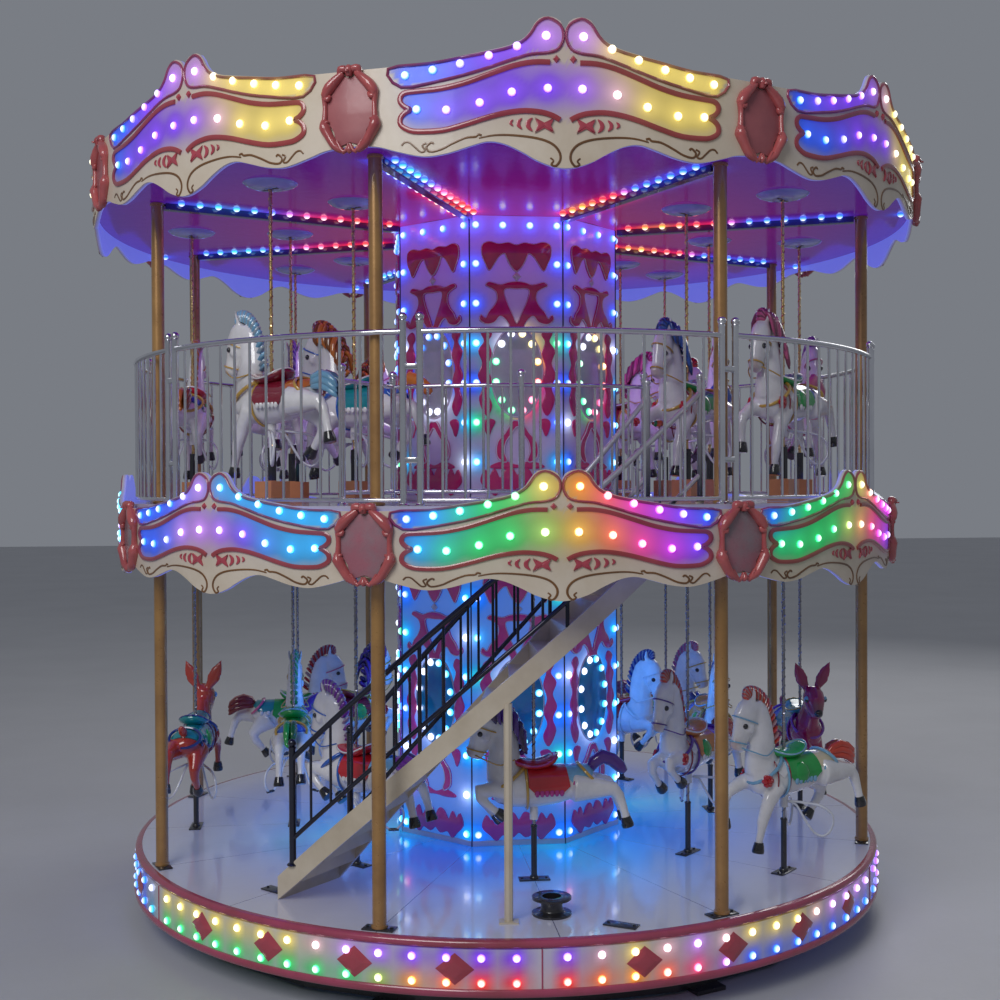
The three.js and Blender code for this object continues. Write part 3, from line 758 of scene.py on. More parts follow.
def shield(radius):
    """The cream panel of one bay as a fine grid whose edges follow the drawing, given its thickness."""
    half = radius * radians(BAY / 2)
    bpy.ops.mesh.primitive_grid_add(x_subdivisions=100, y_subdivisions=30, size=2)
    grid = bpy.context.object
    points = points_of(grid)
    along = points[:, 0] * half
    top = np.array([edge_height(TOP_EDGE, x) for x in along])
    low = np.array([edge_height(LOW_EDGE, x) for x in along])
    share = (points[:, 1] + 1) / 2
    move_points(grid, np.column_stack([along, np.zeros(len(along)), low + (top - low) * share]))
    return grid


def inside(outline, x, z):
    """Whether a point lies inside an outline: it crosses the outline's sides an odd number of times."""
    crossed = False
    for (ax, az), (bx, bz) in zip(outline, outline[1:] + outline[:1]):
        if (az > z) != (bz > z) and x < ax + (z - az) / (bz - az) * (bx - ax):
            crossed = not crossed
    return crossed


def lit_share(points):
    """1 inside the lamp bands and the cartouche, where the lamps light the panel, and little outside."""
    cartouche = [(0, -0.258), *SIGN_TOP, (0, -0.578)]
    return np.array([1.0 if inside(BAND_LINE, abs(x), z) or inside(cartouche, abs(x), z) else 0.12
                     for x, y, z in points])


def crescent(centre, width, height):
    """A raised crescent that opens towards the bay's middle."""
    x, z = centre
    outline = [(x - width * 0.3, z + height / 2), (x + width * 0.35, z + height * 0.28), (x + width / 2, z),
               (x + width * 0.35, z - height * 0.28), (x - width * 0.3, z - height / 2),
               (x - width * 0.05, z - height * 0.2), (x, z), (x - width * 0.05, z + height * 0.2)]
    return plate(outline, 0.008)


def star_block():
    """The small block of crossed leaves beside the cartouche's foot."""
    parts = []
    x, z, wide, high = 0.118, -0.610, 0.094, 0.060
    for dx in (-1, 1):
        parts.append(plate([(x, z), (x + dx * wide / 2, z + high / 2), (x + dx * wide * 0.36, z),
                            (x + dx * wide / 2, z - high / 2)], 0.012, smooth=False))
    for dz in (-1, 1):
        parts.append(plate([(x, z), (x - wide * 0.36, z + dz * high / 2), (x, z + dz * high * 0.2),
                            (x + wide * 0.36, z + dz * high / 2)], 0.009, smooth=False))
    parts.append(crescent((0.200, -0.606), 0.040, 0.070))
    parts.append(crescent((0.256, -0.602), 0.032, 0.056))
    parts.append(crescent((0.302, -0.597), 0.020, 0.030))
    return joined(parts)


def bay_spots(radius, crest, squeeze, bands, signs):
    """Every lamp on one ring: the lamp bands and the cartouche of each bay."""
    spots = []
    for bay, middle in enumerate(BAY_ANGLES):
        for drawn, runs in ((BAND_LAMPS, bands), (SIGN_LAMPS, signs)):
            stops = runs[CORNICE_TURNS[bay] % len(runs)]
            reach = drawn[0][0]
            for x, z in drawn:
                for side in (-1, 1):
                    angle = middle + degrees(side * x / radius)
                    colour = run_colour(stops, (side * x / reach + 1) / 2)
                    spots.append((around(angle, radius, crest + z * squeeze), outward(angle), colour))
    return spots


CORNICE_TURNS = [0, 1, 0, 1, 0, 1, 2, 2]
magenta_bead = gloss("magenta_bead", (0.36, 0.05, 0.11), (0.26, 0.03, 0.05), dullness=0.12, glow=0.6)
rose_bead = gloss("rose_bead", (0.40, 0.06, 0.07), (0.30, 0.035, 0.04), dullness=0.10, glow=0.5)


def light_behind(panel, front):
    """The back of the shields, whose points follow the front ones, catches blue light from the storey."""
    light = kept_colours(panel, "glow")
    light[front:] = (0.08, 0.11, 0.50, 0.6)
    keep_colours(panel, "glow", light)


def cornice(storey, radius, crest, squeeze, bands, signs):
    """One ring of eight shields with its beads, ornament, scrolls and lamps."""
    spots = bay_spots(radius, crest, squeeze, bands, signs)
    flat = shield(radius)
    lit = lit_share(points_of(flat))
    panel = round_wall("panel", flat, radius, BAY_ANGLES, crest, squeeze)
    glow_on(panel, spots, 0.090, 0.42, np.tile(lit, BAYS))
    with editing(panel):
        bpy.ops.mesh.remove_doubles(threshold=0.0005)
        bpy.ops.mesh.normals_make_consistent(inside=False)
    front = len(panel.data.vertices)
    light_behind(modified(panel, "SOLIDIFY", thickness=PANEL, offset=-1), front)
    finished(panel, storey + "_cornice_shield", cream, stands_for=(storey + "_cornice",))
    border = mirrored(line(BAND_LINE, 0.020, closed=True, steps=3))
    border = round_wall("border", border, radius + 0.001, BAY_ANGLES, crest, squeeze)
    finished(glow_on(border, spots, 0.05, 0.3), storey + "_band_bead", magenta_bead, smooth=60)
    bead = mirrored(line(SIGN_TOP, 0.034, steps=3, flat=0.8))
    bead = round_wall("bead", bead, radius + 0.002, BAY_ANGLES, crest, squeeze)
    finished(glow_on(bead, spots, 0.05, 0.25), storey + "_cartouche_bead", rose_bead,
             smooth=60)
    scrolls = joined([line(SCROLL, 0.016, flat=0.5, steps=4, taper=lambda t: 0.6 + 0.4 * sin(pi * t)),
                      line(SCROLL_KNOT, 0.014, flat=0.5, steps=4),
                      line(SCROLL_TAIL, 0.012, flat=0.5, steps=4)])
    scrolls = round_wall("scrolls", mirrored(scrolls), radius + 0.001, BAY_ANGLES, crest, squeeze)
    finished(scrolls, storey + "_cornice_scrolls", scroll_gold, smooth=60)
    small = diamond(0.044, 0.05, 0.016)
    small.location = (0.048, 0, -0.238)
    apply_place(small)
    ornament = mirrored(joined([star_block(), small]))
    ornament = round_wall("ornament", ornament, radius, BAY_ANGLES, crest, squeeze)
    finished(ornament, storey + "_cornice_leaves", salmon, smooth=30)
    set_lamps(storey + "_cornice_lamps", spots)
    return spots


UPPER_RING = 3.12
UPPER_CREST = FLOOR + 5.28
LOWER_RING = 2.949
LOWER_CREST = FLOOR + 2.749
LOWER_SQUEEZE = 0.898
upper_spots = cornice("upper", UPPER_RING, UPPER_CREST, 1.0, UPPER_BANDS, UPPER_SIGNS)
lower_spots = cornice("lower", LOWER_RING, LOWER_CREST, LOWER_SQUEEZE, LOWER_BANDS, LOWER_SIGNS)
print("cornice lamps", len(upper_spots) + len(lower_spots))

# %% [markdown]
# ## Medallions
# A mirror in a leafy rose frame covers each joint between two shields. The frame is gathered from tapering
# limbs: bulging leaves down both sides, a shell at the top and folded ribbons at the foot.

# %% Model one medallion on the flat sheet
MIRROR_EDGE = [(0, 0.56), (0.33, 0.62), (0.44, 0.36), (0.70, 0.12), (0.72, -0.12), (0.46, -0.38),
               (0.38, -0.66), (0, -0.58), (-0.38, -0.66), (-0.46, -0.38), (-0.72, -0.12), (-0.70, 0.12),
               (-0.44, 0.36), (-0.33, 0.62)]


def medallion_frame(width, height):
    """Half is modelled and mirrored; x and z are shares of the half width and half height."""
    wide, high = width / 2, height / 2

    def leaf(path, sizes, rise=0.012):
        points = flowing([(x * wide, -rise, z * high) for x, z in path], 3)
        widths = np.interp(np.linspace(0, 1, len(points)), np.linspace(0, 1, len(sizes)), sizes) * wide
        return limb(points, list(widths * 0.8), list(widths), sides=10, up=(0, 1, 0))

    parts = [leaf([(0.22, 0.82), (0.46, 0.68), (0.70, 0.52), (0.84, 0.36), (0.80, 0.24)],
                  [0.12, 0.20, 0.24, 0.20, 0.10]),
             leaf([(0.66, 0.34), (0.74, 0.26), (0.86, 0.25)], [0.05, 0.11, 0.10], 0.022),
             leaf([(0.88, 0.32), (0.86, 0.06), (0.88, -0.26)], [0.13, 0.10, 0.13]),
             leaf([(0.88, -0.18), (0.88, -0.36), (0.72, -0.58), (0.52, -0.80), (0.26, -0.92)],
                  [0.11, 0.24, 0.20, 0.18, 0.12]),
             leaf([(0.72, -0.24), (0.84, -0.28), (0.90, -0.38)], [0.05, 0.10, 0.07], 0.022),
             leaf([(0.12, 0.90), (0.30, 0.90), (0.36, 0.76)], [0.16, 0.17, 0.08], 0.014),
             leaf([(0.44, -0.70), (0.20, -0.96), (0.02, -0.78)], [0.06, 0.09, 0.06], 0.02)]
    for shift in (0.05, -0.05):
        parts.append(leaf([(0.50 + shift, 0.66 + shift), (0.70 + shift, 0.50), (0.80 + shift, 0.36)],
                          [0.02, 0.035, 0.02], 0.040))
        parts.append(leaf([(0.84 + shift, -0.34), (0.70 + shift, -0.54 + shift), (0.54 + shift, -0.74)],
                          [0.02, 0.032, 0.02], 0.036))
    half = mirrored(joined(parts))
    shell = leaf([(0, 0.74), (0, 0.88), (0, 0.98)], [0.12, 0.20, 0.10], 0.02)
    pearl = leaf([(0, 0.80), (0, 0.84)], [0.08, 0.08], 0.055)
    knob = leaf([(0, -0.82), (0, -0.92), (0, -0.99)], [0.10, 0.14, 0.06], 0.02)
    return joined([half, shell, pearl, knob])


medallion_rose = gloss("medallion_rose", (0.48, 0.10, 0.10), (0.34, 0.06, 0.07), dullness=0.13, scale=6)
MIRROR_GLASS = {
    "upper": gloss("upper_mirror_glass", (0.40, 0.12, 0.13), (0.30, 0.08, 0.10), dullness=0.3, coat=0.1),
    "lower": gloss("lower_mirror_glass", (0.36, 0.13, 0.17), (0.22, 0.22, 0.24), dullness=0.2, coat=0.1),
}
JOINT_ANGLES = [angle + BAY / 2 for angle in BAY_ANGLES]


def medallions(storey, radius, top, bottom, width):
    height = top - bottom
    wide, high = width / 2, height / 2
    outline = [(x * wide * 1.2, z * high * 1.25) for x, z in MIRROR_EDGE]
    glass = plate(outline, 0.010, smooth=False, bevel=0.002)
    places = ring_places(JOINT_ANGLES, radius + 0.002, FLOOR + bottom + high)
    finished(spread(medallion_frame(width, height), places), storey + "_medallion_frames", medallion_rose,
             smooth=60)
    finished(spread(glass, places), storey + "_medallion_mirrors", MIRROR_GLASS[storey])


medallions("upper", UPPER_RING, top=5.045, bottom=4.541, width=0.350)
medallions("lower", LOWER_RING, top=2.560, bottom=2.072, width=0.370)

# %% [markdown]
# ## The platform floor
# The floor is glossy white sheet in sixteen sectors with thin dark joints, and it catches the blue light of
# the column. The joints are painted by angle in the finish. The poles' guide tubes stand on oblong black
# flanges; one is modelled and copied to every ride, and two spare flanges lie in the front bays.

# %% Floor sheet
SECTORS = 16


def sector_joint_group():
    """A mask that is 1 on the thin joints between the floor's sectors."""
    group, given, made = new_group("Sector joints", {"Count": "Float", "Width": "Float"},
                                   {"Joint": "Float"})
    place = node_in(group, "ShaderNodeTexCoord").outputs["Object"]
    parts = node_in(group, "ShaderNodeSeparateXYZ", {0: place}).outputs
    flat = node_in(group, "ShaderNodeVectorMath", {0: place, 1: (1, 1, 0)}, operation="MULTIPLY").outputs[0]
    radius = node_in(group, "ShaderNodeVectorMath", {0: flat}, operation="LENGTH").outputs["Value"]
    half = reckoned(group, "MULTIPLY", given["Count"], 0.5)
    angle = reckoned(group, "ARCTAN2", parts["Y"], parts["X"])
    wave = reckoned(group, "SINE", reckoned(group, "MULTIPLY", angle, half))
    arc = reckoned(group, "MULTIPLY", reckoned(group, "ABSOLUTE", wave), radius)
    mask = reckoned(group, "LESS_THAN", reckoned(group, "DIVIDE", arc, half), given["Width"])
    group.links.new(mask, made["Joint"])
    return group


SECTOR_JOINTS = sector_joint_group()


def paint_socket(material):
    """The input of a finish that takes its colour."""
    return material.node_tree.nodes["Principled BSDF"].inputs["Base Color"]


def with_joints(material, count, width, joint_colour):
    """Draws dark sector joints over a finish."""
    tree, paint = material.node_tree, paint_socket(material)
    joints = node_in(tree, "ShaderNodeGroup", {"Count": count, "Width": width}, node_tree=SECTOR_JOINTS)
    tree.links.new(mixed(tree, joints.outputs["Joint"], paint.links[0].from_socket, (*joint_colour, 1)),
                   paint)
    return material


def ring_glow(piece, colour_at):
    """Keeps a broad glow on a piece: colour_at gives (colour, strength) for a point."""
    light = np.ones((len(piece.data.vertices), 4))
    for vertex in piece.data.vertices:
        colour, strength = colour_at(vertex.co)
        light[vertex.index, :3] = np.array(colour) * strength
        light[vertex.index, 3] = min(strength * 1.1, 0.85)
    return keep_colours(piece, "glow", light)


def angle_of(point):
    return degrees(atan2(point.x, -point.y))


def floor_light(point):
    """Blue near the column, fading to white near the rim, with patches of cyan and violet."""
    radius = hypot(point.x, point.y)
    angle = angle_of(point)
    patch = 0.5 + 0.5 * sin(radians(angle * 2 - 30))
    near = exp(-((max(radius - 0.9, 0) / 1.25) ** 2))
    colour = np.array(run_colour(((0.0, 0.09, 0.46), (0.0, 0.26, 0.50), (0.0, 0.12, 0.46)), patch)) * near
    return colour + np.array((0.20, 0.19, 0.45)) * (1 - near), 0.95 * near + 0.04


profile = [(radius, FLOOR) for radius in np.linspace(0, FLOOR_EDGE, 46)]
profile += [(FLOOR_EDGE, FLOOR - 0.06), (0, FLOOR - 0.06)]
floor_paint = gloss("floor_sheet", (0.74, 0.73, 0.75), (0.74, 0.73, 0.74), dullness=0.08, scale=1.5,
                    coat=0.7, glow=0.9)
sheet = ring_glow(spun(profile, 192, closed=False), floor_light)
sheet = finished(sheet, "floor_sheet", with_joints(floor_paint, SECTORS, 0.0028, (0.06, 0.06, 0.08)))

# %% Pole guides and flanges
def bolts(reach, radius, depth, height):
    """Two hexagonal bolt heads."""
    parts = []
    for x in (-reach, reach):
        bpy.ops.mesh.primitive_cylinder_add(vertices=6, radius=radius, depth=depth, location=(x, 0, height))
        parts.append(apply_place(bpy.context.object))
    return parts


def oblong_flange():
    base = block((-0.105, -0.045, 0), (0.105, 0.045, 0.010), 0.003)
    return joined([base, *bolts(0.083, 0.009, 0.008, 0.013)])


def pole_guide(height):
    tube = spun([(0.0172, 0.0), (0.0205, 0.0), (0.0205, height - 0.016), (0.023, height - 0.014),
                 (0.023, height - 0.003), (0.0205, height), (0.0172, height)], 24)
    collar = spun([(0.0205, 0.008), (0.032, 0.010), (0.032, 0.018), (0.026, 0.028), (0.0205, 0.030)], 24)
    return joined([tube, collar, oblong_flange()])


LOWER_RIDES = [("inner", angle) for angle in (0, 45, 90, 135, 180, -135, -90, -45)]
LOWER_RIDES += [("outer", angle) for angle in (45, 90, 135, 180, -135, -90)]
UPPER_RIDES = [(ring, angle) for ring in ("inner", "outer") for angle in (45, 90, 135, 180, -135, -90, -45)]
RINGS = {"inner": 1.678, "outer": 2.434}


def ride_places(rides, height):
    return [place_at(angle, RINGS[ring], height) for ring, angle in rides]


# The lowest rides have a shorter guide below their bellies.
LOWEST_RIDES = [("inner", 135), ("outer", 135), ("outer", -135)]
guides = []
for guide_height, low in ((0.34, True), (0.37, False)):
    chosen = [ride for ride in LOWER_RIDES if (ride in LOWEST_RIDES) == low]
    guides.append(spread(pole_guide(guide_height), ride_places(chosen, FLOOR)))
finished(joined(guides), "pole_guides", black, stands_for=("platform_floor",))
spare_places = [place_at(-45, 2.423, FLOOR),
                place_at(8.5, 2.69, FLOOR) @ turn_by(-41)]
finished(spread(oblong_flange(), spare_places), "spare_flanges", black)
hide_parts("platform_floor")

# %% [markdown]
# ## Posts
# Eight brown-gold tubes stand on black plates. A tube is a cylinder, and a thin collar, spun from a small
# profile, closes it at its plate, at the second deck and at the ceiling.

# %% Posts and their plates
POST = 0.043


def post():
    bpy.ops.mesh.primitive_cylinder_add(vertices=32, radius=POST, depth=CEILING - FLOOR - 0.012,
                                        location=(0, 0, (CEILING + FLOOR + 0.010) / 2))
    tube = apply_place(bpy.context.object)
    collars = [spun([(POST, low), (POST + 0.007, low + 0.002), (POST + 0.007, low + 0.016),
                     (POST, low + 0.020)], 32) for low in (FLOOR + 0.0105, DECK + 0.001, CEILING - 0.022)]
    return joined([tube, *collars])


def post_plate():
    base = block((-0.1, -0.048, FLOOR + 0.0003), (0.1, 0.048, FLOOR + 0.0103), 0.003)
    return joined([base, *bolts(0.078, 0.010, 0.009, FLOOR + 0.0145)])


post_places = ring_places(JOINT_ANGLES, POST_CIRCLE)
finished(spread(post(), post_places), "posts", gold_brown,
         stands_for=tuple(f"post_{i}" for i in range(1, 9)))
finished(spread(post_plate(), post_places), "post_plates", black)
print("guides and posts set")

# %% [markdown]
# ## The column
# Each face is a glossy lavender-white panel with a dark joint at the corners, rows of lamps down both
# sides and raised magenta ornament: a valance, a lyre, an oval mirror in a ring of lamps between leafy
# vines, a bow and a wave of leaves. One face is drawn and copied round; the lower storey's drawing sits
# 0.1 m higher.

# %% Panels
FACE_HALF = COLUMN_CORNER * sin(radians(BAY / 2))
STOREYS = {"lower": (FLOOR, DECK_UNDER), "upper": (DECK, CEILING)}


def face_panel(height):
    """A panel with pillowed edges: a grid whose rim is set back a little."""
    bpy.ops.mesh.primitive_grid_add(x_subdivisions=20, y_subdivisions=60, size=2)
    grid = bpy.context.object
    points = points_of(grid)
    half = FACE_HALF - 0.002
    x = points[:, 0] * half
    z = (points[:, 1] + 1) / 2 * height
    edge = np.minimum(half - np.abs(x), 0.02) / 0.02
    move_points(grid, np.column_stack([x, 0.004 - 0.004 * np.clip(edge, 0, 1), z]))
    return grid


def column_spots(storey):
    """The lamps of one storey: a top row and two columns on each face, and the ring round each oval."""
    low, high = STOREYS[storey]
    spots = []
    if storey == "upper":
        rows = [high - 0.353 - 0.29 * i for i in range(6)]
    else:
        rows = [low + 0.086 + 0.29 * i for i in range(8)]
    cool = run("BCCBGCBW")
    for face, angle in enumerate(BAY_ANGLES):
        place = place_at(angle, COLUMN_FACE, 0)

        def spot(x, z, colour, proud=0.001):
            spots.append((place @ Vector((x, -proud, z)), outward(angle), colour))
        for x in (-0.3, -0.1, 0.1, 0.3):
            spot(x, high - 0.07, BLUE if storey == "upper" else CYAN)
        for side in (-1, 1):
            for i, z in enumerate(rows):
                colour = cool[(face * 3 + i * (2 if side > 0 else 1)) % len(cool)]
                if storey == "upper" and i < 2:
                    colour = BLUE
                if storey == "lower" and i == 1 and (face + side) % 3 == 0:
                    colour = PINK
                spot(side * 0.3, z, colour)
        middle = OVAL_MIDDLE + low + RAISED[storey]
        ring = run("CW") if storey == "lower" else run("YARPGGGWW")
        if storey == "upper" and face in (6, 7):
            ring = run("BWB")
        for i in range(12):
            turn = 2 * pi * (i + 0.5) / 12
            colour = ring[int(i / 12 * len(ring))]
            spot(OVAL_WIDE * 0.84 * sin(turn), middle + OVAL_HIGH * 0.88 * cos(turn), colour, 0.008)
    return spots


OVAL_MIDDLE = 0.947
OVAL_WIDE = 0.19
OVAL_HIGH = 0.33
RAISED = {"lower": 0.10, "upper": 0.0}

# %% Ornament of one face, half drawn; z is above the storey's base
VALANCE = mm((0, 1875), (60, 1892), (130, 1882), (200, 1897), (250, 1872), (254, 1800), (228, 1735),
             (200, 1690), (160, 1745), (125, 1795), (85, 1812), (62, 1755), (30, 1705), (0, 1682))
LYRE = mm((0, 1607), (60, 1600), (120, 1583), (200, 1602), (226, 1578), (180, 1555), (150, 1530),
          (143, 1480), (165, 1430), (205, 1385), (232, 1338), (262, 1362), (272, 1325), (225, 1298),
          (165, 1312), (125, 1356), (85, 1335), (55, 1290), (50, 1262), (0, 1262))
LYRE_HOLE = mm((0, 1556), (70, 1558), (95, 1535), (75, 1460), (35, 1370), (0, 1300))
VINE = mm((212, 1270), (261, 1235), (238, 1170), (280, 1100), (252, 1010), (284, 920), (252, 830),
          (276, 740), (226, 630), (187, 700), (218, 790), (192, 880), (218, 980), (189, 1080), (212, 1170),
          (187, 1220))
BOW = mm((0, 590), (35, 585), (85, 505), (145, 430), (150, 330), (100, 285), (75, 300), (95, 360),
         (85, 430), (45, 490), (0, 545))
LENS = mm((0, 262), (90, 288), (175, 268), (195, 246), (100, 238), (0, 246))
WEDGE = mm((165, 585), (215, 600), (245, 565), (215, 480), (190, 530))
WAVE = mm((0, 100), (50, 65), (120, 85), (165, 45), (210, 85), (268, 145), (240, 225), (205, 185),
          (168, 232), (130, 165), (85, 225), (40, 240), (0, 185))


def whole(half):
    """The full outline from its right half."""
    return half + [(-x, z) for x, z in reversed(half) if x > 0.0005]


def face_ornament(storey):
    wave = [(x, z - RAISED[storey]) for x, z in whole(WAVE)]
    parts = [plate(whole(VALANCE), 0.016, bevel=0.005),
             plate(whole(LYRE), 0.016, bevel=0.005, holes=(whole(LYRE_HOLE),)),
             plate(whole(BOW), 0.014, bevel=0.005),
             plate(whole(LENS), 0.012, bevel=0.004),
             plate(wave, 0.018, bevel=0.006)]
    for side in (-1, 1):
        for outline in (VINE, WEDGE):
            parts.append(plate([(x * side, z) for x, z in outline], 0.014, bevel=0.005))
    return joined(parts)


def face_piping():
    """Thin white edges that pick out the valance's point, the lyre's hole and the arches at its foot."""
    parts = [line([(-0.085, 1.812), (-0.05, 1.735), (0, 1.684), (0.05, 1.735), (0.085, 1.812)], 0.012),
             *[line(whole(outline), 0.009, closed=True) for outline in (VALANCE, LYRE, LYRE_HOLE, BOW)]]
    for side in (-1, 1):
        parts.append(line([(side * 0.272, 1.33), (side * 0.225, 1.296), (side * 0.165, 1.310),
                           (side * 0.125, 1.354), (side * 0.085, 1.333), (side * 0.055, 1.288)], 0.009))
        parts.append(line([(side * 0.20, 1.690), (side * 0.16, 1.745), (side * 0.125, 1.795)], 0.007))
    small = diamond(0.07, 0.07, 0.012)
    small.location = (0, 0, 1.645)
    parts.append(apply_place(small))
    piping = joined(parts)
    moved = points_of(piping)
    moved[:, 1] -= 0.012
    move_points(piping, moved)
    return piping


def oval(wide, high, count=40):
    return [(wide * sin(2 * pi * i / count),
             OVAL_MIDDLE + high * cos(2 * pi * i / count)) for i in range(count)]


column_paint = gloss("column_panel", (0.66, 0.61, 0.78), (0.56, 0.50, 0.68), dullness=0.06, scale=2.2,
                     coat=0.8, glow=1.0)
ORNAMENT_PAINT = {
    "upper": gloss("ornament_red", (0.68, 0.015, 0.16), (0.44, 0.008, 0.15), dullness=0.06, coat=1.0),
    "lower": gloss("ornament_pink", (0.85, 0.06, 0.34), (0.70, 0.04, 0.26), dullness=0.06, coat=1.0),
}
piping_white = gloss("piping_white", (0.72, 0.68, 0.80), (0.60, 0.56, 0.68), dullness=0.08)
seam_dark = gloss("column_seam", (0.06, 0.05, 0.12), (0.03, 0.03, 0.06), dullness=0.3)
COLUMN_AMBIENT = {"lower": (0.01, 0.24, 1.0), "upper": (0.34, 0.12, 0.85)}
OVAL_GLASS = {
    "lower": gloss("lower_oval_glass", (0.02, 0.20, 0.46), (0.01, 0.34, 0.52), dullness=0.02, scale=5),
    "upper": gloss("upper_oval_glass", (0.52, 0.50, 0.58), (0.36, 0.42, 0.46), dullness=0.05, scale=5,
                   metal=0.3),
}


def storey_light(storey):
    """Violet-blue haze that is strongest under the ceiling."""
    low, high = STOREYS[storey]

    def light(point):
        share = (point.z - low) / (high - low)
        if storey == "lower":
            return COLUMN_AMBIENT[storey], 0.36
        return COLUMN_AMBIENT[storey], 0.04 + 0.50 * max(0, share) ** 4
    return light


def add_haze(piece, colour_at):
    """Adds a broad glow to the lamps' halos that are already kept on the piece."""
    light = kept_colours(piece, "glow")
    for vertex in piece.data.vertices:
        colour, strength = colour_at(vertex.co)
        light[vertex.index, :3] += np.array(colour) * strength
        light[vertex.index, 3] = min(light[vertex.index, 3] + strength, 0.9)
    return keep_colours(piece, "glow", light)


for storey, (low, high) in STOREYS.items():
    column = storey + "_column_"
    face_places = ring_places(BAY_ANGLES, COLUMN_FACE, low)
    raised = [place @ Matrix.Translation((0, 0, RAISED[storey])) for place in face_places]
    corners = ring_places(JOINT_ANGLES, COLUMN_CORNER - 0.004)
    spots = column_spots(storey)
    panels = spread(face_panel(high - low - 0.001), face_places)
    glow_on(panels, spots, 0.055, 0.80 if storey == "upper" else 0.60)
    add_haze(panels, storey_light(storey))
    finished(panels, column + "panels", column_paint, stands_for=("column_" + storey,))
    finished(spread(bar((0, 0, low), (0, 0, high - 0.001), 0.012, 8), corners), column + "seams", seam_dark)
    plinth = block((-FACE_HALF + 0.004, -0.008, 0.001), (FACE_HALF - 0.004, 0.0, 0.042), 0.003)
    finished(spread(plinth, face_places), column + "plinth", piping_white)
    finished(spread(face_ornament(storey), raised), column + "ornament", ORNAMENT_PAINT[storey],
             smooth=50)
    finished(spread(face_piping(), raised), column + "piping", piping_white, smooth=60)
    glass = plate(oval(OVAL_WIDE - 0.004, OVAL_HIGH - 0.004), 0.008, smooth=False, bevel=0.002)
    finished(spread(glass, raised), storey + "_oval_mirrors", OVAL_GLASS[storey])
    rims = line(oval(OVAL_WIDE, OVAL_HIGH), 0.018, closed=True, steps=1)
    finished(spread(rims, raised), storey + "_oval_rims", piping_white, smooth=60)
    set_lamps(column + "lamps", spots, 1.1)
print("column dressed")

# %% [markdown]
# ## The second deck
# The deck's solid already has the stair well, the tan boxes and the black guide tubes over the poles, so it
# keeps its own mesh. One finish paints the three by height: white sheet, tan box, black tube.

# %% Deck finish by height
def deck_finish():
    """White sheet, then tan above the deck's face, then black above the boxes."""
    material = gloss("deck_sheet", (0.50, 0.48, 0.58), (0.42, 0.40, 0.50), dullness=0.14)
    tree, paint = material.node_tree, paint_socket(material)
    place = node_in(tree, "ShaderNodeTexCoord").outputs["Object"]
    rise = node_in(tree, "ShaderNodeSeparateXYZ", {0: place}).outputs["Z"]
    grain = node_in(tree, "ShaderNodeTexNoise",
                    {"Vector": place, "Scale": 14.0, "Detail": 4.0}).outputs["Fac"]
    tan = mixed(tree, grain, (0.66, 0.27, 0.11, 1), (0.52, 0.20, 0.08, 1))
    for height, colour in ((DECK + 0.004, tan), (DECK + 0.154, (0.012, 0.012, 0.015, 1))):
        above = reckoned(tree, "GREATER_THAN", rise, height)
        tree.links.new(mixed(tree, above, paint.links[0].from_socket, colour), paint)
    return material


paint_with(nodes["second_deck"], deck_finish())

# %% [markdown]
# ## The ceiling
# Glossy magenta panels hang between eight dark blue box ribs, with a row of lamps down each side of a rib:
# red near the column, blue near the rim. A shallow dome closes the ceiling round each pole.

# %% Ceiling panels, ribs and lamps
RIB_FROM = 0.922
RIB_TO = POST_CIRCLE - POST - 0.008
RIB_LAMPS = 13
RIB_LAMPS_FROM = 1.02
RIB_LAMPS_REACH = RIB_TO - 1.12
JOINT_LAMP = 3.03
CEILING_FROM = 0.85
CEILING_TO = 3.085
CEILING_TOP = CEILING + 0.029

ceiling_spots = []
for rib, angle in enumerate(JOINT_ANGLES):
    place = place_at(angle, 0, CEILING)
    for side, stops in ((-1, run("RARRBBBB")), (1, run("RRPBCB"))):
        for i in range(RIB_LAMPS):
            radius = RIB_LAMPS_FROM + RIB_LAMPS_REACH * i / (RIB_LAMPS - 1)
            colour = run_colour(stops, i / (RIB_LAMPS - 1))
            ceiling_spots.append((place @ Vector((side * 0.070, -radius, -0.001)), Vector((0, 0, -1)),
                                  colour))
    ceiling_spots.append((place @ Vector((0, -JOINT_LAMP, -0.001)), Vector((0, 0, -1)), BLUE))


def ceiling_light(point):
    """Magenta haze that turns violet towards the rim."""
    radius = hypot(point.x, point.y)
    return run_colour(((0.70, 0.01, 0.24), (0.34, 0.005, 0.36), (0.12, 0.01, 0.50)),
                      (radius - 0.9) / 2.1), 0.25


profile = [(radius, CEILING) for radius in np.linspace(CEILING_FROM, CEILING_TO, 40)]
profile += [(CEILING_TO, CEILING_TOP), (CEILING_FROM, CEILING_TOP)]
ceiling_paint = gloss("ceiling_gloss", (0.16, 0.008, 0.22), (0.12, 0.006, 0.20), dullness=0.06, scale=1.8,
                      coat=0.1, glow=1.0)
ceiling_paint.node_tree.nodes["Principled BSDF"].inputs["Specular IOR Level"].default_value = 0.25
ceiling_sheet = glow_on(spun(profile, 192), ceiling_spots, 0.05, 0.6)
add_haze(ceiling_sheet, ceiling_light)
finished(ceiling_sheet, "ceiling_sheet", ceiling_paint, stands_for=("ceiling",))
rib_blue = gloss("rib_blue", (0.02, 0.02, 0.22), (0.01, 0.01, 0.10), dullness=0.08, coat=0.8, glow=0.8)
rib = block((-0.034, -RIB_TO, CEILING - 0.045), (0.034, -RIB_FROM, CEILING - 0.0002), 0.004)
with editing(rib):
    bpy.ops.mesh.subdivide(number_cuts=10)
ribs = glow_on(spread(rib, [turn_by(angle) for angle in JOINT_ANGLES]), ceiling_spots, 0.035, 0.12)
finished(ribs, "ceiling_ribs", rib_blue)
set_lamps("ceiling_lamps", ceiling_spots, 0.95)

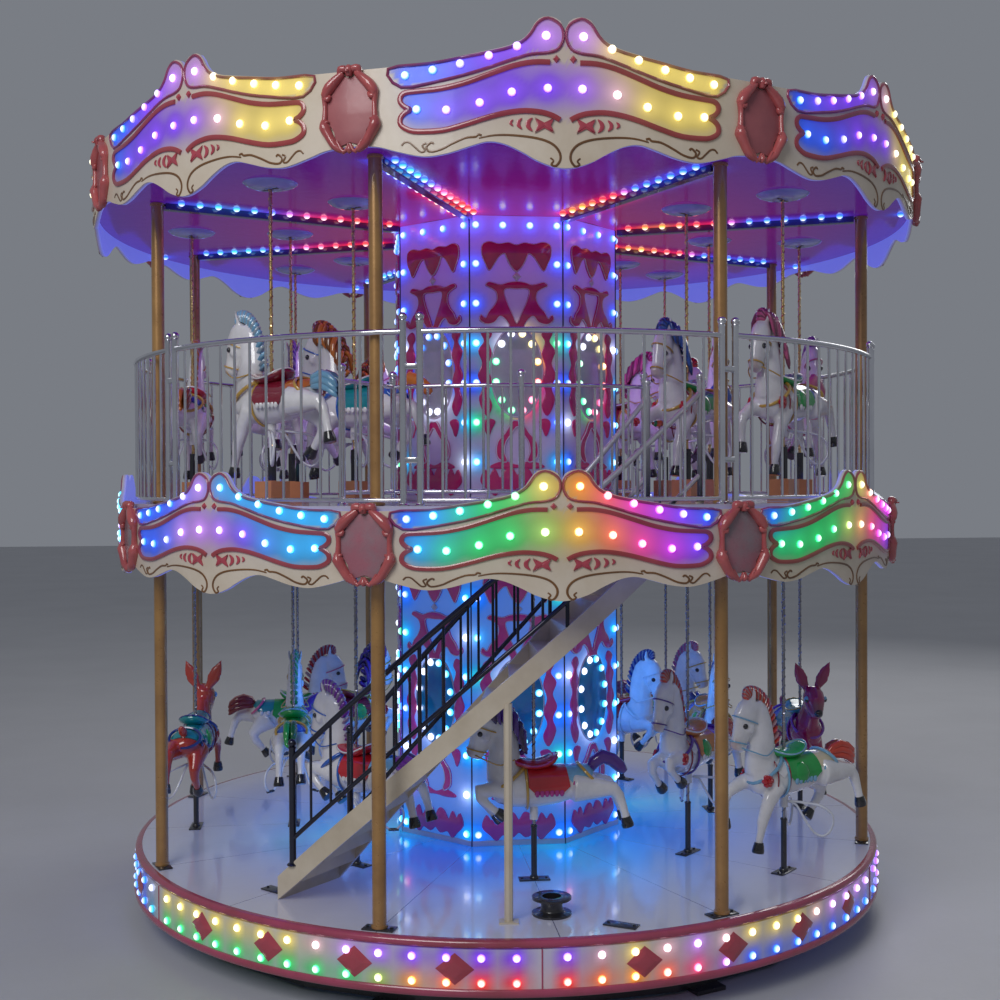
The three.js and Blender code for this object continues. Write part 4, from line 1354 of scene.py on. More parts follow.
# %% Domes round the poles
def pole_dome():
    dish = spun(mm((24, -36), (60, -40), (110, -34), (150, -22), (172, -10), (180, -0.5), (24, -0.5)), 40)
    lip = spun(mm((23, -41), (34, -41), (34, -36), (23, -36)), 24)
    return joined([dish, lip])


dome_paint = gloss("dome_blue", (0.34, 0.38, 0.90), (0.26, 0.28, 0.74), dullness=0.08, coat=0.9)
places = ride_places(UPPER_RIDES, CEILING)
finished(spread(pole_dome(), places), "ceiling_domes", dome_paint, smooth=50)
slots = joined([block((side * 0.048 - 0.023, -0.012, -0.0425), (side * 0.048 + 0.023, 0.012, -0.037), 0.003)
                for side in (-1, 1)])
finished(spread(slots, places), "ceiling_dome_slots", black, smooth=50)

# %% [markdown]
# ## The roof
# The roof is hidden in the photograph. It is taken to be a low cone of cream sheet with raised joints and a
# cap, as on carousels of this kind.

# %% Roof sheets, joints and cap
ROOF_EDGE = FLOOR + 4.85
ROOF_PEAK = FLOOR + 5.18
ROOF_RADIUS = UPPER_RING - PANEL - 0.003


def roof_cone():
    profile = [(ROOF_RADIUS, CEILING + 0.04), (ROOF_RADIUS, ROOF_EDGE)]
    rise = ROOF_PEAK - ROOF_EDGE
    profile += [(ROOF_RADIUS * (1 - t), ROOF_EDGE + rise * t) for t in np.linspace(0.05, 1, 20)]
    return spun(profile, 96, closed=False)


roof_paint = gloss("roof_sheet", (0.60, 0.54, 0.44), (0.53, 0.47, 0.37), dullness=0.35, scale=2.5, coat=0.1)
finished(roof_cone(), "roof_sheet", roof_paint, stands_for=("roof",))
joint = bar((0, -ROOF_RADIUS + 0.01, ROOF_EDGE), (0, -0.20, ROOF_PEAK - 0.03), 0.026, 8)
finished(spread(joint, [turn_by(22.5 * i) for i in range(16)]), "roof_joints", roof_paint)
finished(spun([(0, ROOF_PEAK + 0.012), (0.12, ROOF_PEAK + 0.006), (0.22, ROOF_PEAK - 0.014),
               (0.23, ROOF_PEAK - 0.035), (0, ROOF_PEAK - 0.035)], 48, closed=False), "roof_cap", salmon)
print("ceiling and roof done")

# %% [markdown]
# ## Railings
# The second deck's guard is nine bent panels of bright tube, clamped newel to newel. Each newel ends in a
# collar and a ball. The stair's railings are dark tube that climbs with the stringers. Straight bars are
# made as cylinders and copied; the rails are round lines that follow the ring.

# %% Tube parts
def newel(height, thickness):
    """An upright tube with a foot, a collar and a ball."""
    radius = thickness / 2
    tube = bar((0, 0, 0), (0, 0, height - 0.05), thickness, 20)
    collar = spun([(radius * 0.5, height - 0.055), (radius + 0.004, height - 0.053),
                   (radius + 0.004, height - 0.045), (radius * 0.5, height - 0.038)], 20)
    foot = spun([(radius * 0.9, 0.0), (radius + 0.016, 0.0), (radius + 0.016, 0.005),
                 (radius + 0.004, 0.014), (radius * 0.9, 0.016)], 20)
    bpy.ops.mesh.primitive_uv_sphere_add(segments=20, ring_count=12, radius=0.027,
                                         location=(0, 0, height - 0.020))
    ball = apply_place(bpy.context.object)
    return joined([tube, collar, foot, ball])


def arc(radius, start, end, height, climb=0.0, count=24):
    """Points along a ring from one angle to another, climbing by so much for each degree."""
    return [tuple(around(start + (end - start) * i / count, radius,
                         height + climb * (end - start) * i / count)) for i in range(count + 1)]


def even(start, end, parts):
    return [start + (end - start) * i / parts for i in range(parts + 1)]

# %% Guard railing of the second deck
GUARD = 2.829
GUARD_PANELS = 9
GUARD_START = 22.5
GUARD_TOP = 1.042
NEWEL_OFFSET = 1.05
GUARD_BALUSTERS = 13


def guard_railing():
    step = 360 / GUARD_PANELS
    parts, newels, balusters, clamps = [], [], [], []
    for panel in range(GUARD_PANELS):
        start = GUARD_START + panel * step + NEWEL_OFFSET
        end = start + step - 2 * NEWEL_OFFSET
        parts.append(line(arc(GUARD, start, end, DECK + GUARD_TOP - 0.018), 0.036, steps=1, sides=2))
        parts.append(line(arc(GUARD, start, end, DECK + 0.034), 0.026, steps=1, sides=2))
        newels += [start, end]
        balusters += even(start, end, GUARD_BALUSTERS + 1)[1:-1]
        for above in (0.268, 0.818):
            clamps.append(place_at(end + NEWEL_OFFSET, GUARD, DECK + above))
    newel_places = ring_places(newels, GUARD, DECK + 0.0005)
    parts.append(spread(newel(GUARD_TOP + 0.088, 0.042), newel_places))
    baluster = bar((0, 0, 0.034), (0, 0, GUARD_TOP - 0.018), 0.018, 10)
    parts.append(spread(baluster, ring_places(balusters, GUARD, DECK)))
    parts.append(spread(block((-0.036, -0.013, -0.018), (0.036, 0.013, 0.018), 0.004), clamps))
    return joined(parts)


finished(guard_railing(), "guard_railing", chrome, smooth=50,
         stands_for=("guard_rail_right", "guard_rail_back", "guard_rail_left"))

# %% Guard of the stair well
WELL_GUARD = 1.885
WELL_FROM = -29.5
WELL_TO = 23.5
WELL_OUTER = 2.56
WELL_TOP = 0.786


def well_railing():
    parts = []
    for above in (0.077, WELL_TOP - 0.013):
        parts.append(line(arc(WELL_GUARD, WELL_FROM, WELL_TO, DECK + above), 0.028, steps=1, sides=2))
        ends = [around(WELL_FROM, radius, DECK + above) for radius in (WELL_GUARD, WELL_OUTER)]
        parts.append(bar(*ends, 0.028))
    spots = [(angle, WELL_GUARD, i % 7 == 0) for i, angle in enumerate(even(WELL_FROM, WELL_TO, 14))]
    spots += [(WELL_FROM, radius, i == 3) for i, radius in enumerate(even(WELL_GUARD, WELL_OUTER, 4)[1:])]
    thick_places = [place_at(angle, radius, DECK + 0.0005) for angle, radius, thick in spots if thick]
    parts.append(spread(newel(WELL_TOP + 0.085, 0.042), thick_places))
    baluster = bar((0, 0, 0.077), (0, 0, WELL_TOP - 0.013), 0.018, 10)
    thin_places = [place_at(angle, radius, DECK) for angle, radius, thick in spots if not thick]
    parts.append(spread(baluster, thin_places))
    return joined(parts)


finished(well_railing(), "well_railing", chrome, smooth=50, stands_for=("well_guard",))

# %% [markdown]
# ## The stair
# Stringers and treads keep their solids' own meshes, in cream paint. The two hand railings are dark tube:
# a top rail and a low rail that climb with the stringer, thin balusters between them, and a longer post
# down to the stringer at every sixth.

# %% Stair railings
STAIR_FOOT = -41.5
STAIR_CLIMB = 0.0375
STAIR_RADII = {"outer": 2.53, "inner": 1.953}
RAIL_FROM = -39.0
RAIL_TO = 22.8
STRINGER_DEPTH = 0.158


def stringer_top(angle):
    return FLOOR + 0.0003 + STRINGER_DEPTH + STAIR_CLIMB * (angle - STAIR_FOOT)


def stair_railing(radius):
    parts = []
    for above, thick in ((0.154, 0.030), (0.666, 0.038)):
        rail = arc(radius, RAIL_FROM, RAIL_TO, stringer_top(RAIL_FROM) + above, STAIR_CLIMB, 40)
        parts.append(line(rail, thick, steps=1, sides=2))
    ends = [place_at(angle, radius, stringer_top(angle) - 0.012) for angle in (RAIL_FROM, RAIL_TO)]
    parts.append(spread(newel(0.80, 0.044), ends))
    angles = even(RAIL_FROM, RAIL_TO, 18)[1:-1]
    strong = bar((0, 0, -0.005), (0, 0, 0.666), 0.026, 12)
    thin = bar((0, 0, 0.154), (0, 0, 0.666), 0.018, 10)
    for upright, sixth in ((strong, True), (thin, False)):
        chosen = [angle for k, angle in enumerate(angles, 1) if (k % 6 == 0) == sixth]
        parts.append(spread(upright, [place_at(angle, radius, stringer_top(angle)) for angle in chosen]))
    return joined(parts)


def painted_below_deck(railing):
    """Dark paint up to the second deck and bare steel above it."""
    heights = points_of(railing)[:, 2]
    paint = np.where(heights[:, None] > DECK + 0.02, [[0.62, 0.62, 0.66, 1.0]],
                     [[0.012, 0.014, 0.035, 1.0]])
    return keep_colours(railing, "paint", paint)


dark_tube = gloss("dark_tube", (0.012, 0.014, 0.035), dullness=0.08, metal=0.6, coat=0.8,
                  colours_from="paint")
stair_cream = gloss("stair_cream", (0.62, 0.54, 0.42), (0.50, 0.42, 0.31), dullness=0.26, coat=0.3)
for side, radius in STAIR_RADII.items():
    finished(painted_below_deck(stair_railing(radius)), f"stair_{side}_railing", dark_tube,
             smooth=50, stands_for=(f"stair_{side}_rail",))
for name in ("stair_outer_stringer", "stair_inner_stringer", "stair_treads"):
    paint_with(nodes[name], stair_cream)
paint_with(nodes["base_frame"], black)

# %% [markdown]
# ## The empty pole socket
# A low black spool on the floor of the front bay waits for a pole. It is one profile spun round.

# %% Socket
def socket_spool():
    waist = flowing(mm((123, 13), (78, 22), (69, 40), (69, 68), (78, 88), (123, 97)), 5)
    profile = mm((59, 0), (123, 0)) + [tuple(p) for p in waist] + mm((123, 110), (120, 112), (59, 112))
    return spun(profile, 48)


SOCKET_ANGLE = 0.3
SOCKET_RADIUS = 2.395
socket_place = place_at(SOCKET_ANGLE, SOCKET_RADIUS, FLOOR + 0.0003)
finished(spread(socket_spool(), [socket_place]), "pole_socket_spool", black,
         stands_for=("pole_socket",))
print("railings, stair and socket done")

# %% [markdown]
# ## The rides
# Each animal is a glossy moulding with painted mane, tail, hooves and tack. Its limbs are modelled as
# stretched spheres, joined, remeshed into one skin and smoothed, which gives the soft joints of a moulding.
# The parts are modelled once and copied for all 28 rides. Each copy has its own place and its own colours,
# kept in the attribute "paint". The saddle is the origin and the nose points to -X.

# %% One skin from several limbs
def one_skin(parts, voxel=0.013, rounds=5):
    piece = modified(joined(parts), "REMESH", mode="VOXEL", voxel_size=voxel, use_smooth_shade=True)
    return modified(piece, "SMOOTH", factor=0.5, iterations=rounds)


def in_plane(points, side=0.0):
    return [(x, side, z) for x, z in points]


# The trunk from chest to rump: place along it, height of its middle, half width and half height.
TRUNK = np.array(mm((-290, -120, 60, 55), (-240, -135, 105, 110), (-140, -140, 120, 135),
                    (0, -142, 122, 140), (140, -135, 112, 128), (260, -115, 118, 112),
                    (350, -105, 110, 100), (410, -130, 55, 50)))
GALLOP = {
    "front right": (-0.078,
                    mm((-120, -180), (-200, -300), (-250, -420), (-262, -475), (-278, -545), (-283, -580))),
    "front left": (0.078,
                   mm((-170, -160), (-320, -185), (-425, -235), (-440, -280), (-438, -370), (-442, -430))),
    "hind right": (-0.080,
                   mm((260, -140), (410, -145), (535, -155), (565, -200), (600, -300), (618, -370))),
    "hind left": (0.080,
                  mm((250, -160), (340, -220), (405, -295), (385, -350), (325, -420), (295, -455))),
}
JUMP = {
    "front right": (-0.078,
                    mm((-170, -150), (-290, -135), (-385, -140), (-375, -190), (-290, -265), (-240, -300))),
    "front left": (0.078,
                   mm((-170, -170), (-280, -165), (-360, -180), (-352, -235), (-285, -315), (-245, -355))),
    "hind right": GALLOP["hind right"],
    "hind left": (0.080,
                  mm((260, -140), (410, -140), (530, -150), (558, -195), (598, -290), (622, -355))),
}
FRONT_SIZES = mm(70, 52, 42, 34, 27, 30)
HIND_SIZES = mm(100, 76, 48, 40, 31, 32)


def trunk_and_legs(gait):
    parts = [limb(in_plane(TRUNK[:, :2]), TRUNK[:, 2], TRUNK[:, 3], 16)]
    for name, (side, points) in gait.items():
        sizes = FRONT_SIZES if name.startswith("front") else HIND_SIZES
        parts.append(limb(in_plane(points, side), sizes, [size * 0.85 for size in sizes], 12, up=(0, 1, 0)))
    return parts


def horse_skin(gait):
    parts = trunk_and_legs(gait)
    parts.append(limb(in_plane(mm((-185, -80), (-205, 30), (-192, 130), (-200, 225), (-225, 310),
                                  (-262, 365))), mm(98, 80, 66, 58, 53, 44), mm(138, 116, 98, 88, 82, 62),
                      16, up=(1, 0, 0)))
    parts.append(limb(in_plane(mm((-272, 392), (-298, 340), (-325, 278), (-350, 208), (-378, 136),
                                  (-400, 86), (-408, 62))), mm(40, 58, 60, 49, 42, 43, 32),
                      mm(58, 90, 100, 83, 66, 63, 45), 14))
    for side in (-1, 1):
        parts.append(limb([(-0.335, side * 0.034, 0.21), (-0.300, side * 0.040, 0.20)], mm(34, 34)))
        parts.append(limb([(-0.285, side * 0.036, 0.405), (-0.290, side * 0.046, 0.445),
                           (-0.300, side * 0.050, 0.482)], mm(21, 20, 7), mm(14, 12, 6), 8))
    return one_skin(parts)


def deer_skin():
    parts = trunk_and_legs(GALLOP)
    parts.append(limb(in_plane(mm((-160, -100), (-205, -20), (-245, 50), (-275, 120))), mm(100, 82, 68, 60),
                      mm(140, 118, 95, 80), 14, up=(1, 0, 0)))
    parts.append(limb(in_plane(mm((-285, 235), (-310, 185), (-340, 130), (-375, 75), (-405, 35),
                                  (-418, 15))), mm(55, 84, 84, 64, 46, 30), mm(55, 90, 104, 84, 60, 40),
                      14))
    for side in (-1, 1):
        parts.append(limb([(-0.272, side * 0.045, 0.225), (-0.280, side * 0.080, 0.300),
                           (-0.290, side * 0.115, 0.375), (-0.295, side * 0.140, 0.440)],
                          mm(26, 58, 46, 10), mm(16, 19, 14, 8), 10, up=(1, 0, 0)))
    return one_skin(parts)

# %% Hooves, eyes, manes and tails
def hooves(gait):
    parts = []
    for side, points in gait.values():
        low, end = (Vector((x, side, z)) for x, z in points[-2:])
        along = (end - low).normalized()
        parts.append(limb([end - along * 0.026, end, end + along * 0.030, end + along * 0.044],
                          mm(32, 38, 44, 41), mm(30, 36, 41, 38), 12, up=(0, 1, 0)))
    return joined(parts)


def pairs(*balls):
    """Balls of (x, spread, z, radius) on both sides."""
    parts = []
    for x, spread, z, radius in balls:
        for side in (-1, 1):
            bpy.ops.mesh.primitive_uv_sphere_add(segments=12, ring_count=8, radius=radius,
                                                 location=(x, side * spread, z))
            parts.append(apply_place(bpy.context.object))
    return joined(parts)


def locks_between(inner, outer, steps, across, along):
    """Fat locks side by side that stand from an inner line to an outer one."""
    parts = []
    for (x0, z0), (x1, z1) in zip(flowing(inner, steps), flowing(outer, steps)):
        middle = ((x0 + x1) / 2, 0, (z0 + z1) / 2)
        parts.append(limb([(x0, 0, z0), middle, (x1, 0, z1)], [along * 0.9, along * 1.15, along],
                          [across, across * 1.15, across * 0.6], 8, up=(0, 1, 0)))
    return joined(parts)


CREST = mm((-345, 425), (-338, 468), (-290, 486), (-215, 465), (-138, 392), (-85, 280), (-45, 120))
NECK_LINE = mm((-315, 395), (-300, 405), (-268, 408), (-222, 385), (-172, 325), (-130, 230), (-92, 80))


def comb_mane():
    return locks_between(NECK_LINE, CREST, 4, 0.027, 0.0125)


def falling_mane():
    """Braids that fall from the crest along both sides of the neck."""
    parts = [locks_between(NECK_LINE, CREST, 3, 0.030, 0.017)]
    for x, z in flowing(CREST[2:6], 2):
        for side in (-1, 1):
            parts.append(limb([(x - 0.006, side * 0.015, z - 0.02), (x + 0.008, side * 0.048, z - 0.045),
                               (x + 0.006, side * 0.070, z - 0.095), (x + 0.012, side * 0.078, z - 0.150),
                               (x + 0.028, side * 0.076, z - 0.185)], mm(16, 25, 24, 20, 7),
                              mm(16, 20, 17, 14, 6), 8, up=(0, 1, 0)))
    return joined(parts)


def rolled_tail():
    """Fat rolls of hair, side by side and one above the other."""
    parts = []
    for side, lift in ((-0.022, 0.040), (0.022, 0.040), (-0.025, 0.0), (0.025, 0.0), (-0.020, -0.040),
                       (0.020, -0.040)):
        path = [(0.375, 0, -0.055), (0.420, side, -0.020 + lift * 0.7), (0.490, side * 1.1, -0.012 + lift),
                (0.555, side * 1.1, -0.032 + lift), (0.602, side, -0.066 + lift),
                (0.622, side * 0.7, -0.094 + lift * 0.8)]
        parts.append(limb(path, mm(16, 24, 27, 26, 21, 8), sides=8, up=(0, 1, 0)))
    return joined(parts)


def smooth_tail():
    """One thick glossy roll that rises and then falls."""
    return limb(mm((370, 0, -60), (410, 0, 10), (470, 0, 48), (535, 0, 25), (590, 0, -22), (622, 0, -60)),
                mm(22, 44, 50, 46, 44, 26), mm(20, 36, 40, 38, 36, 20), 14, up=(0, 1, 0))


def short_tail():
    return limb(mm((375, 0, -45), (415, 0, 0), (450, 0, 30), (468, 0, 45)), mm(24, 34, 28, 12),
                mm(20, 26, 20, 10), 10)

# %% Saddle, cloths and straps
def saddle():
    """A dished seat with a high back; its sides are part of the cloth below."""
    return limb(in_plane(mm((-150, 48), (-115, 30), (-55, 14), (10, 10), (75, 22), (125, 46), (155, 66))),
                mm(40, 80, 104, 112, 110, 94, 56), mm(24, 30, 32, 32, 34, 32, 18), 16)


def saddle_edge():
    """A raised rail along the seat."""
    half = mm((-122, 72, 40), (-55, 104, 20), (10, 113, 16), (80, 108, 32), (136, 74, 64))
    loop = [(-0.156, 0, 0.066), *half, (0.160, 0, 0.082), *[(x, -y, z) for x, y, z in reversed(half)]]
    return line(loop, 0.012, closed=True, steps=2)


def cover(start, end, low, lift=0.007):
    """A cloth round the trunk from start to end, cut off level at its lower edge and across its corners."""
    spots = np.linspace(start, end, 6)
    middle, wide, high = (np.interp(spots, TRUNK[:, 0], TRUNK[:, column]) for column in (1, 2, 3))
    shell = limb(in_plane(zip(spots, middle)), wide + lift, high + lift, 24)
    with editing(shell):
        bpy.ops.mesh.bisect(plane_co=(0, 0, low), plane_no=(0, 0, 1), clear_inner=True, use_fill=True)
        for side, edge in ((1, start), (-1, end)):
            bpy.ops.mesh.select_all(action="SELECT")
            bpy.ops.mesh.bisect(plane_co=(edge, 0, low + 0.045), plane_no=(side, 0, 1), clear_inner=True,
                                use_fill=True)
    return shell


def trunk_side(x, z, lift):
    """How far the trunk's side lies from the middle at this place."""
    middle, wide, high = (np.interp(x, TRUNK[:, 0], TRUNK[:, column]) for column in (1, 2, 3))
    rise = min(abs(z - middle) / high, 0.98)
    return wide * sqrt(1 - rise * rise) + lift


def ruffles(start, end, low, size=0.019):
    """A scalloped hem along a cloth's lower edge."""
    count = int((end - start) / (size * 1.55))
    parts = []
    for side in (-1, 1):
        for x in np.linspace(start + size * 0.6, end - size * 0.6, count):
            y = side * trunk_side(x, low, 0.010)
            parts.append(limb([(x, y, low + size), (x, y * 1.02, low), (x, y * 1.01, low - size)],
                              [size * 0.7, size, size * 0.5], [size * 0.5, size * 0.6, size * 0.4], 8,
                              up=(0, 1, 0)))
    return joined(parts)


def hoop(x_top, x_low, z_top, z_low, wide, thickness):
    """A strap that runs round the trunk, tilted from x_top to x_low."""
    points = []
    for i in range(24):
        turn = 2 * pi * i / 24
        share = (1 + cos(turn)) / 2
        points.append((x_low + (x_top - x_low) * share, wide * sin(turn),
                       z_low + (z_top - z_low) * share))
    return line(points, thickness, closed=True, steps=1)


def straps():
    """Breast strap, girth and crupper."""
    return joined([hoop(-0.060, -0.296, 0.010, -0.165, 0.124, 0.026),
                   hoop(-0.065, -0.050, 0.004, -0.290, 0.128, 0.018),
                   hoop(0.300, 0.420, 0.010, -0.120, 0.117, 0.022)])


def bridle():
    parts = []
    for centre, along, wide, high in (((-0.386, 0, 0.115), (-0.26, 0, -0.96), 0.046, 0.070),
                                      ((-0.330, 0, 0.262), (-0.35, 0, -0.94), 0.064, 0.104)):
        top = Vector((0, 1, 0)).cross(Vector(along).normalized())
        turns = [2 * pi * i / 14 for i in range(14)]
        middle, across = Vector(centre), Vector((0, wide, 0))
        parts.append(line([tuple(middle + across * cos(turn) + top * high * sin(turn))
                           for turn in turns], 0.011, closed=True, steps=1))
    for side in (-1, 1):
        parts.append(line([(-0.398, side * 0.046, 0.088), (-0.330, side * 0.085, 0.060),
                           (-0.235, side * 0.108, 0.030), (-0.135, side * 0.060, 0.055)], 0.010, steps=4))
    return joined(parts)


def foot_loops():
    """White wire loops that reach out sideways from the sleeve and serve as foot rests."""
    parts = []
    for side in (-1, 1):
        loop = [(0.010, side * 0.037, -0.318), (0.09, side * 0.090, -0.326), (0.19, side * 0.165, -0.350),
                (0.250, side * 0.205, -0.410), (0.245, side * 0.205, -0.495), (0.200, side * 0.175, -0.550),
                (0.145, side * 0.135, -0.525), (0.095, side * 0.095, -0.430), (0.055, side * 0.065, -0.345)]
        parts.append(line(loop, 0.018, closed=True, steps=4))
    return joined(parts)


def foot_pads():
    return joined([bar((0.165, side * 0.148, -0.547), (0.222, side * 0.192, -0.545), 0.022, 8)
                   for side in (-1, 1)])


def sleeve():
    """The white tube round the pole below the belly."""
    return spun([(0.0245, -0.362), (0.029, -0.362), (0.029, -0.262), (0.0245, -0.262)], 20)


def breast_rose():
    parts = []
    for side in (-1, 1):
        for i in range(6):
            turn = 2 * pi * i / 6
            petal = [(-0.232 + reach * cos(turn), side * out, -0.140 + reach * sin(turn))
                     for reach, out in ((0.026, 0.112), (0.033, 0.128))]
            parts.append(limb(petal, [0.021, 0.015], sides=8))
        parts.append(limb([(-0.232, side * 0.120, -0.140), (-0.232, side * 0.136, -0.140)], [0.020, 0.015]))
    return joined(parts)


def leg_pads():
    """Round pads behind the flaps, one on each side."""
    heights = mm(-50, -75, -115, -155, -180)
    return joined([limb([(0.060, side * trunk_side(0.06, z, 0.010), z) for z in heights],
                        mm(28, 52, 62, 52, 28), mm(10, 14, 16, 14, 10), 16,
                        up=(0, 1, 0)) for side in (-1, 1)])

# %% Model the seeds once
SEEDS = {
    "horse": horse_skin(GALLOP), "jumper": horse_skin(JUMP), "deer": deer_skin(),
    "hooves": hooves(GALLOP), "jumper hooves": hooves(JUMP),
    "horse eyes": pairs((-0.366, 0.046, 0.228, 0.019)), "deer eyes": pairs((-0.372, 0.072, 0.150, 0.020)),
    "deer whites": pairs((-0.366, 0.068, 0.156, 0.026)),
    "nose": limb([(-0.440, 0, 0.055), (-0.462, 0, 0.045)], [0.034, 0.024]), "comb": comb_mane(),
    "locks": falling_mane(), "tail": rolled_tail(), "smooth tail": smooth_tail(),
    "short tail": short_tail(), "saddle": saddle(), "edge": saddle_edge(),
    "front cloth": cover(-0.150, -0.050, -0.130),
    "front hem": joined([hoop(x, x, 0.010, -0.290, 0.130, 0.012) for x in (-0.048, -0.152)]),
    "cloth": cover(-0.050, 0.230, -0.165, 0.012), "rear cloth": cover(0.210, 0.385, -0.105),
    "ruffles": ruffles(-0.005, 0.185, -0.165), "rear ruffles": ruffles(0.255, 0.340, -0.105),
    "pads": leg_pads(), "straps": straps(), "bridle": bridle(), "loops": foot_loops(),
    "foot pads": foot_pads(), "sleeve": sleeve(), "rose": breast_rose(),
}
# The points on one lock of each mane and on one roll of the tail; every second one is painted darker.
STRIPED = {"comb": 8 * 3 + 2, "locks": 8 * 3 + 2, "tail": 8 * 6 + 2}
for name, seed in SEEDS.items():
    print(name, len(seed.data.polygons), "faces")


def assembled(name, place, parts):
    """One mesh from coloured copies of seeds."""
    rows, faces, paints = [], [], []
    for seed_name, colour in parts:
        seed = SEEDS[seed_name]
        points = points_of(seed)
        start = sum(len(row) for row in rows)
        faces += [tuple(v + start for v in polygon.vertices) for polygon in seed.data.polygons]
        rows.append(points)
        paint = np.tile([*colour, 1.0], (len(points), 1))
        if seed_name in ("horse", "jumper", "deer"):
            paint[:, :3] = animal_shades(points, colour)
        if seed_name in STRIPED:
            odd = (np.arange(len(points)) // STRIPED[seed_name]) % 2 == 1
            paint[odd, :3] = paint[odd, :3] * 0.35 + (0.30 if seed_name == "comb" else 0.0) * np.array(SNOW)
        paints.append(paint)
    points = np.vstack(rows)
    piece = object_from(name, moved_by(place, points).tolist(), faces)
    return keep_colours(piece, "paint", np.vstack(paints))


def animal_shades(points, colour):
    """Darker, greyer legs and belly towards the bottom, and a pink-grey muzzle."""
    base = np.array(colour)[None, :]
    muzzle = np.clip((-points[:, 0] - 0.385) / 0.05, 0, 1) * np.clip(points[:, 2] / 0.02, 0, 1)
    muzzle *= np.clip((0.16 - points[:, 2]) / 0.04, 0, 1)
    low = np.clip((-points[:, 2] - 0.30) / 0.30, 0, 1) * 0.30
    shade = base * (1 - low[:, None]) + base * np.array([[0.62, 0.60, 0.66]]) * low[:, None]
    soft = np.array([[0.45, 0.24, 0.24]]) * (0.35 + 0.65 * base.mean())
    return shade * (1 - muzzle[:, None] * 0.6) + soft * muzzle[:, None] * 0.6

# %% [markdown]
# ## Colours of the rides
# Every ride has its own mix of mane, saddle, cloth, straps and hem. The table lists them in the order of
# their bodies; colours are named once.

# %% Ride colours
SNOW = (0.80, 0.79, 0.80)
HOOF = (0.008, 0.008, 0.010)
WIRE = (0.72, 0.74, 0.80)
PAINTS = {
    "wine": (0.36, 0.01, 0.10), "rust": (0.62, 0.05, 0.02), "red": (0.52, 0.01, 0.02),
    "maroon": (0.25, 0.01, 0.03), "purple": (0.09, 0.02, 0.26), "violet": (0.22, 0.03, 0.42),
    "magenta": (0.50, 0.02, 0.24), "pink": (0.62, 0.10, 0.26), "orange": (0.62, 0.18, 0.02),
    "gold": (0.60, 0.36, 0.06), "cream": (0.72, 0.62, 0.42), "green": (0.01, 0.34, 0.06),
    "teal": (0.01, 0.25, 0.28), "blue": (0.02, 0.12, 0.52), "navy": (0.01, 0.03, 0.22),
    "sky": (0.20, 0.45, 0.66), "snow": SNOW, "deer": (0.50, 0.045, 0.025),
}
# Mane kind, then the colours of mane, seat, cloth, straps and hem. Deer give their coat for the mane.
LOWER_COATS = [
    "locks purple red sky gold magenta", "comb rust orange violet purple snow",
    "comb navy orange blue gold sky", "comb navy red violet snow pink", "comb rust green blue pink snow",
    "locks purple maroon teal gold gold", "comb green green blue gold sky",
    "comb violet red sky blue snow", "comb rust green cream sky sky", "deer wine teal blue violet gold",
    "comb pink red orange gold snow", "comb pink maroon sky blue snow", "comb red green teal pink snow",
    "deer deer teal teal navy navy",
]
UPPER_COATS = [
    "locks blue green violet gold snow", "comb red orange blue gold snow",
    "locks pink maroon teal gold snow", "comb rust red sky blue gold",
    "locks orange green blue pink snow", "comb purple orange teal gold snow",
    "locks orange teal blue blue snow", "locks pink green blue gold snow",
    "comb violet red teal pink gold", "locks rust orange violet gold snow",
    "comb blue maroon sky blue snow", "locks red green teal pink snow", "comb orange red blue gold snow",
    "comb sky maroon orange gold snow",
]
SADDLE_HEIGHTS = {("inner", 0): 0.770, ("inner", 45): 0.870, ("inner", 90): 0.840, ("inner", 135): 0.705,
                  ("inner", -90): 0.850, ("inner", -45): 0.790, ("outer", 45): 0.810, ("outer", 90): 0.790,
                  ("outer", 135): 0.705, ("outer", -135): 0.705, ("outer", -90): 0.820}
USUAL_SADDLE = 0.800
TURNS = {("lower", "outer", 45): -23, ("lower", "outer", -135): -42, ("lower", "outer", -90): -6,
         ("upper", "inner", -45): 10}

# %% [markdown]
# ## Poles
# Upper poles are gold barley twist and lower ones silver. The twist is one bead that winds round a thin
# core.

# %% Poles
def twisted_pole(low, high, thickness=0.030, pitch=0.06):
    core = bar((0, 0, low), (0, 0, high), thickness * 0.74, 12)
    turns = (high - low - 0.02) / pitch
    steps = int(turns * 9)
    winding = []
    for i in range(steps + 1):
        turn = 2 * pi * i / 9
        winding.append((thickness * 0.30 * cos(turn), thickness * 0.30 * sin(turn),
                        low + 0.01 + pitch * i / 9))
    return joined([core, line(winding, thickness * 0.42, steps=1, sides=0)])


POLE_METAL = {
    "upper": gloss("gold_twist", (0.86, 0.62, 0.30), (0.60, 0.38, 0.15), metal=1.0, coat=0.0, scale=6),
    "lower": gloss("silver_twist", (0.40, 0.40, 0.44), (0.28, 0.28, 0.32), dullness=0.10, metal=1.0,
                   coat=0.0, scale=6),
}
animal_gloss = gloss("animal_gloss", SNOW, dullness=0.06, scale=5, coat=0.9, colours_from="paint")
tack_gloss = gloss("tack_gloss", PAINTS["red"], dullness=0.08, scale=7, coat=0.9, colours_from="paint")
POLE_BOTTOM = 0.14
POLE_TOPS = {"lower": (FLOOR, DECK_UNDER + 0.045), "upper": (DECK, CEILING + 0.030 + 0.12)}


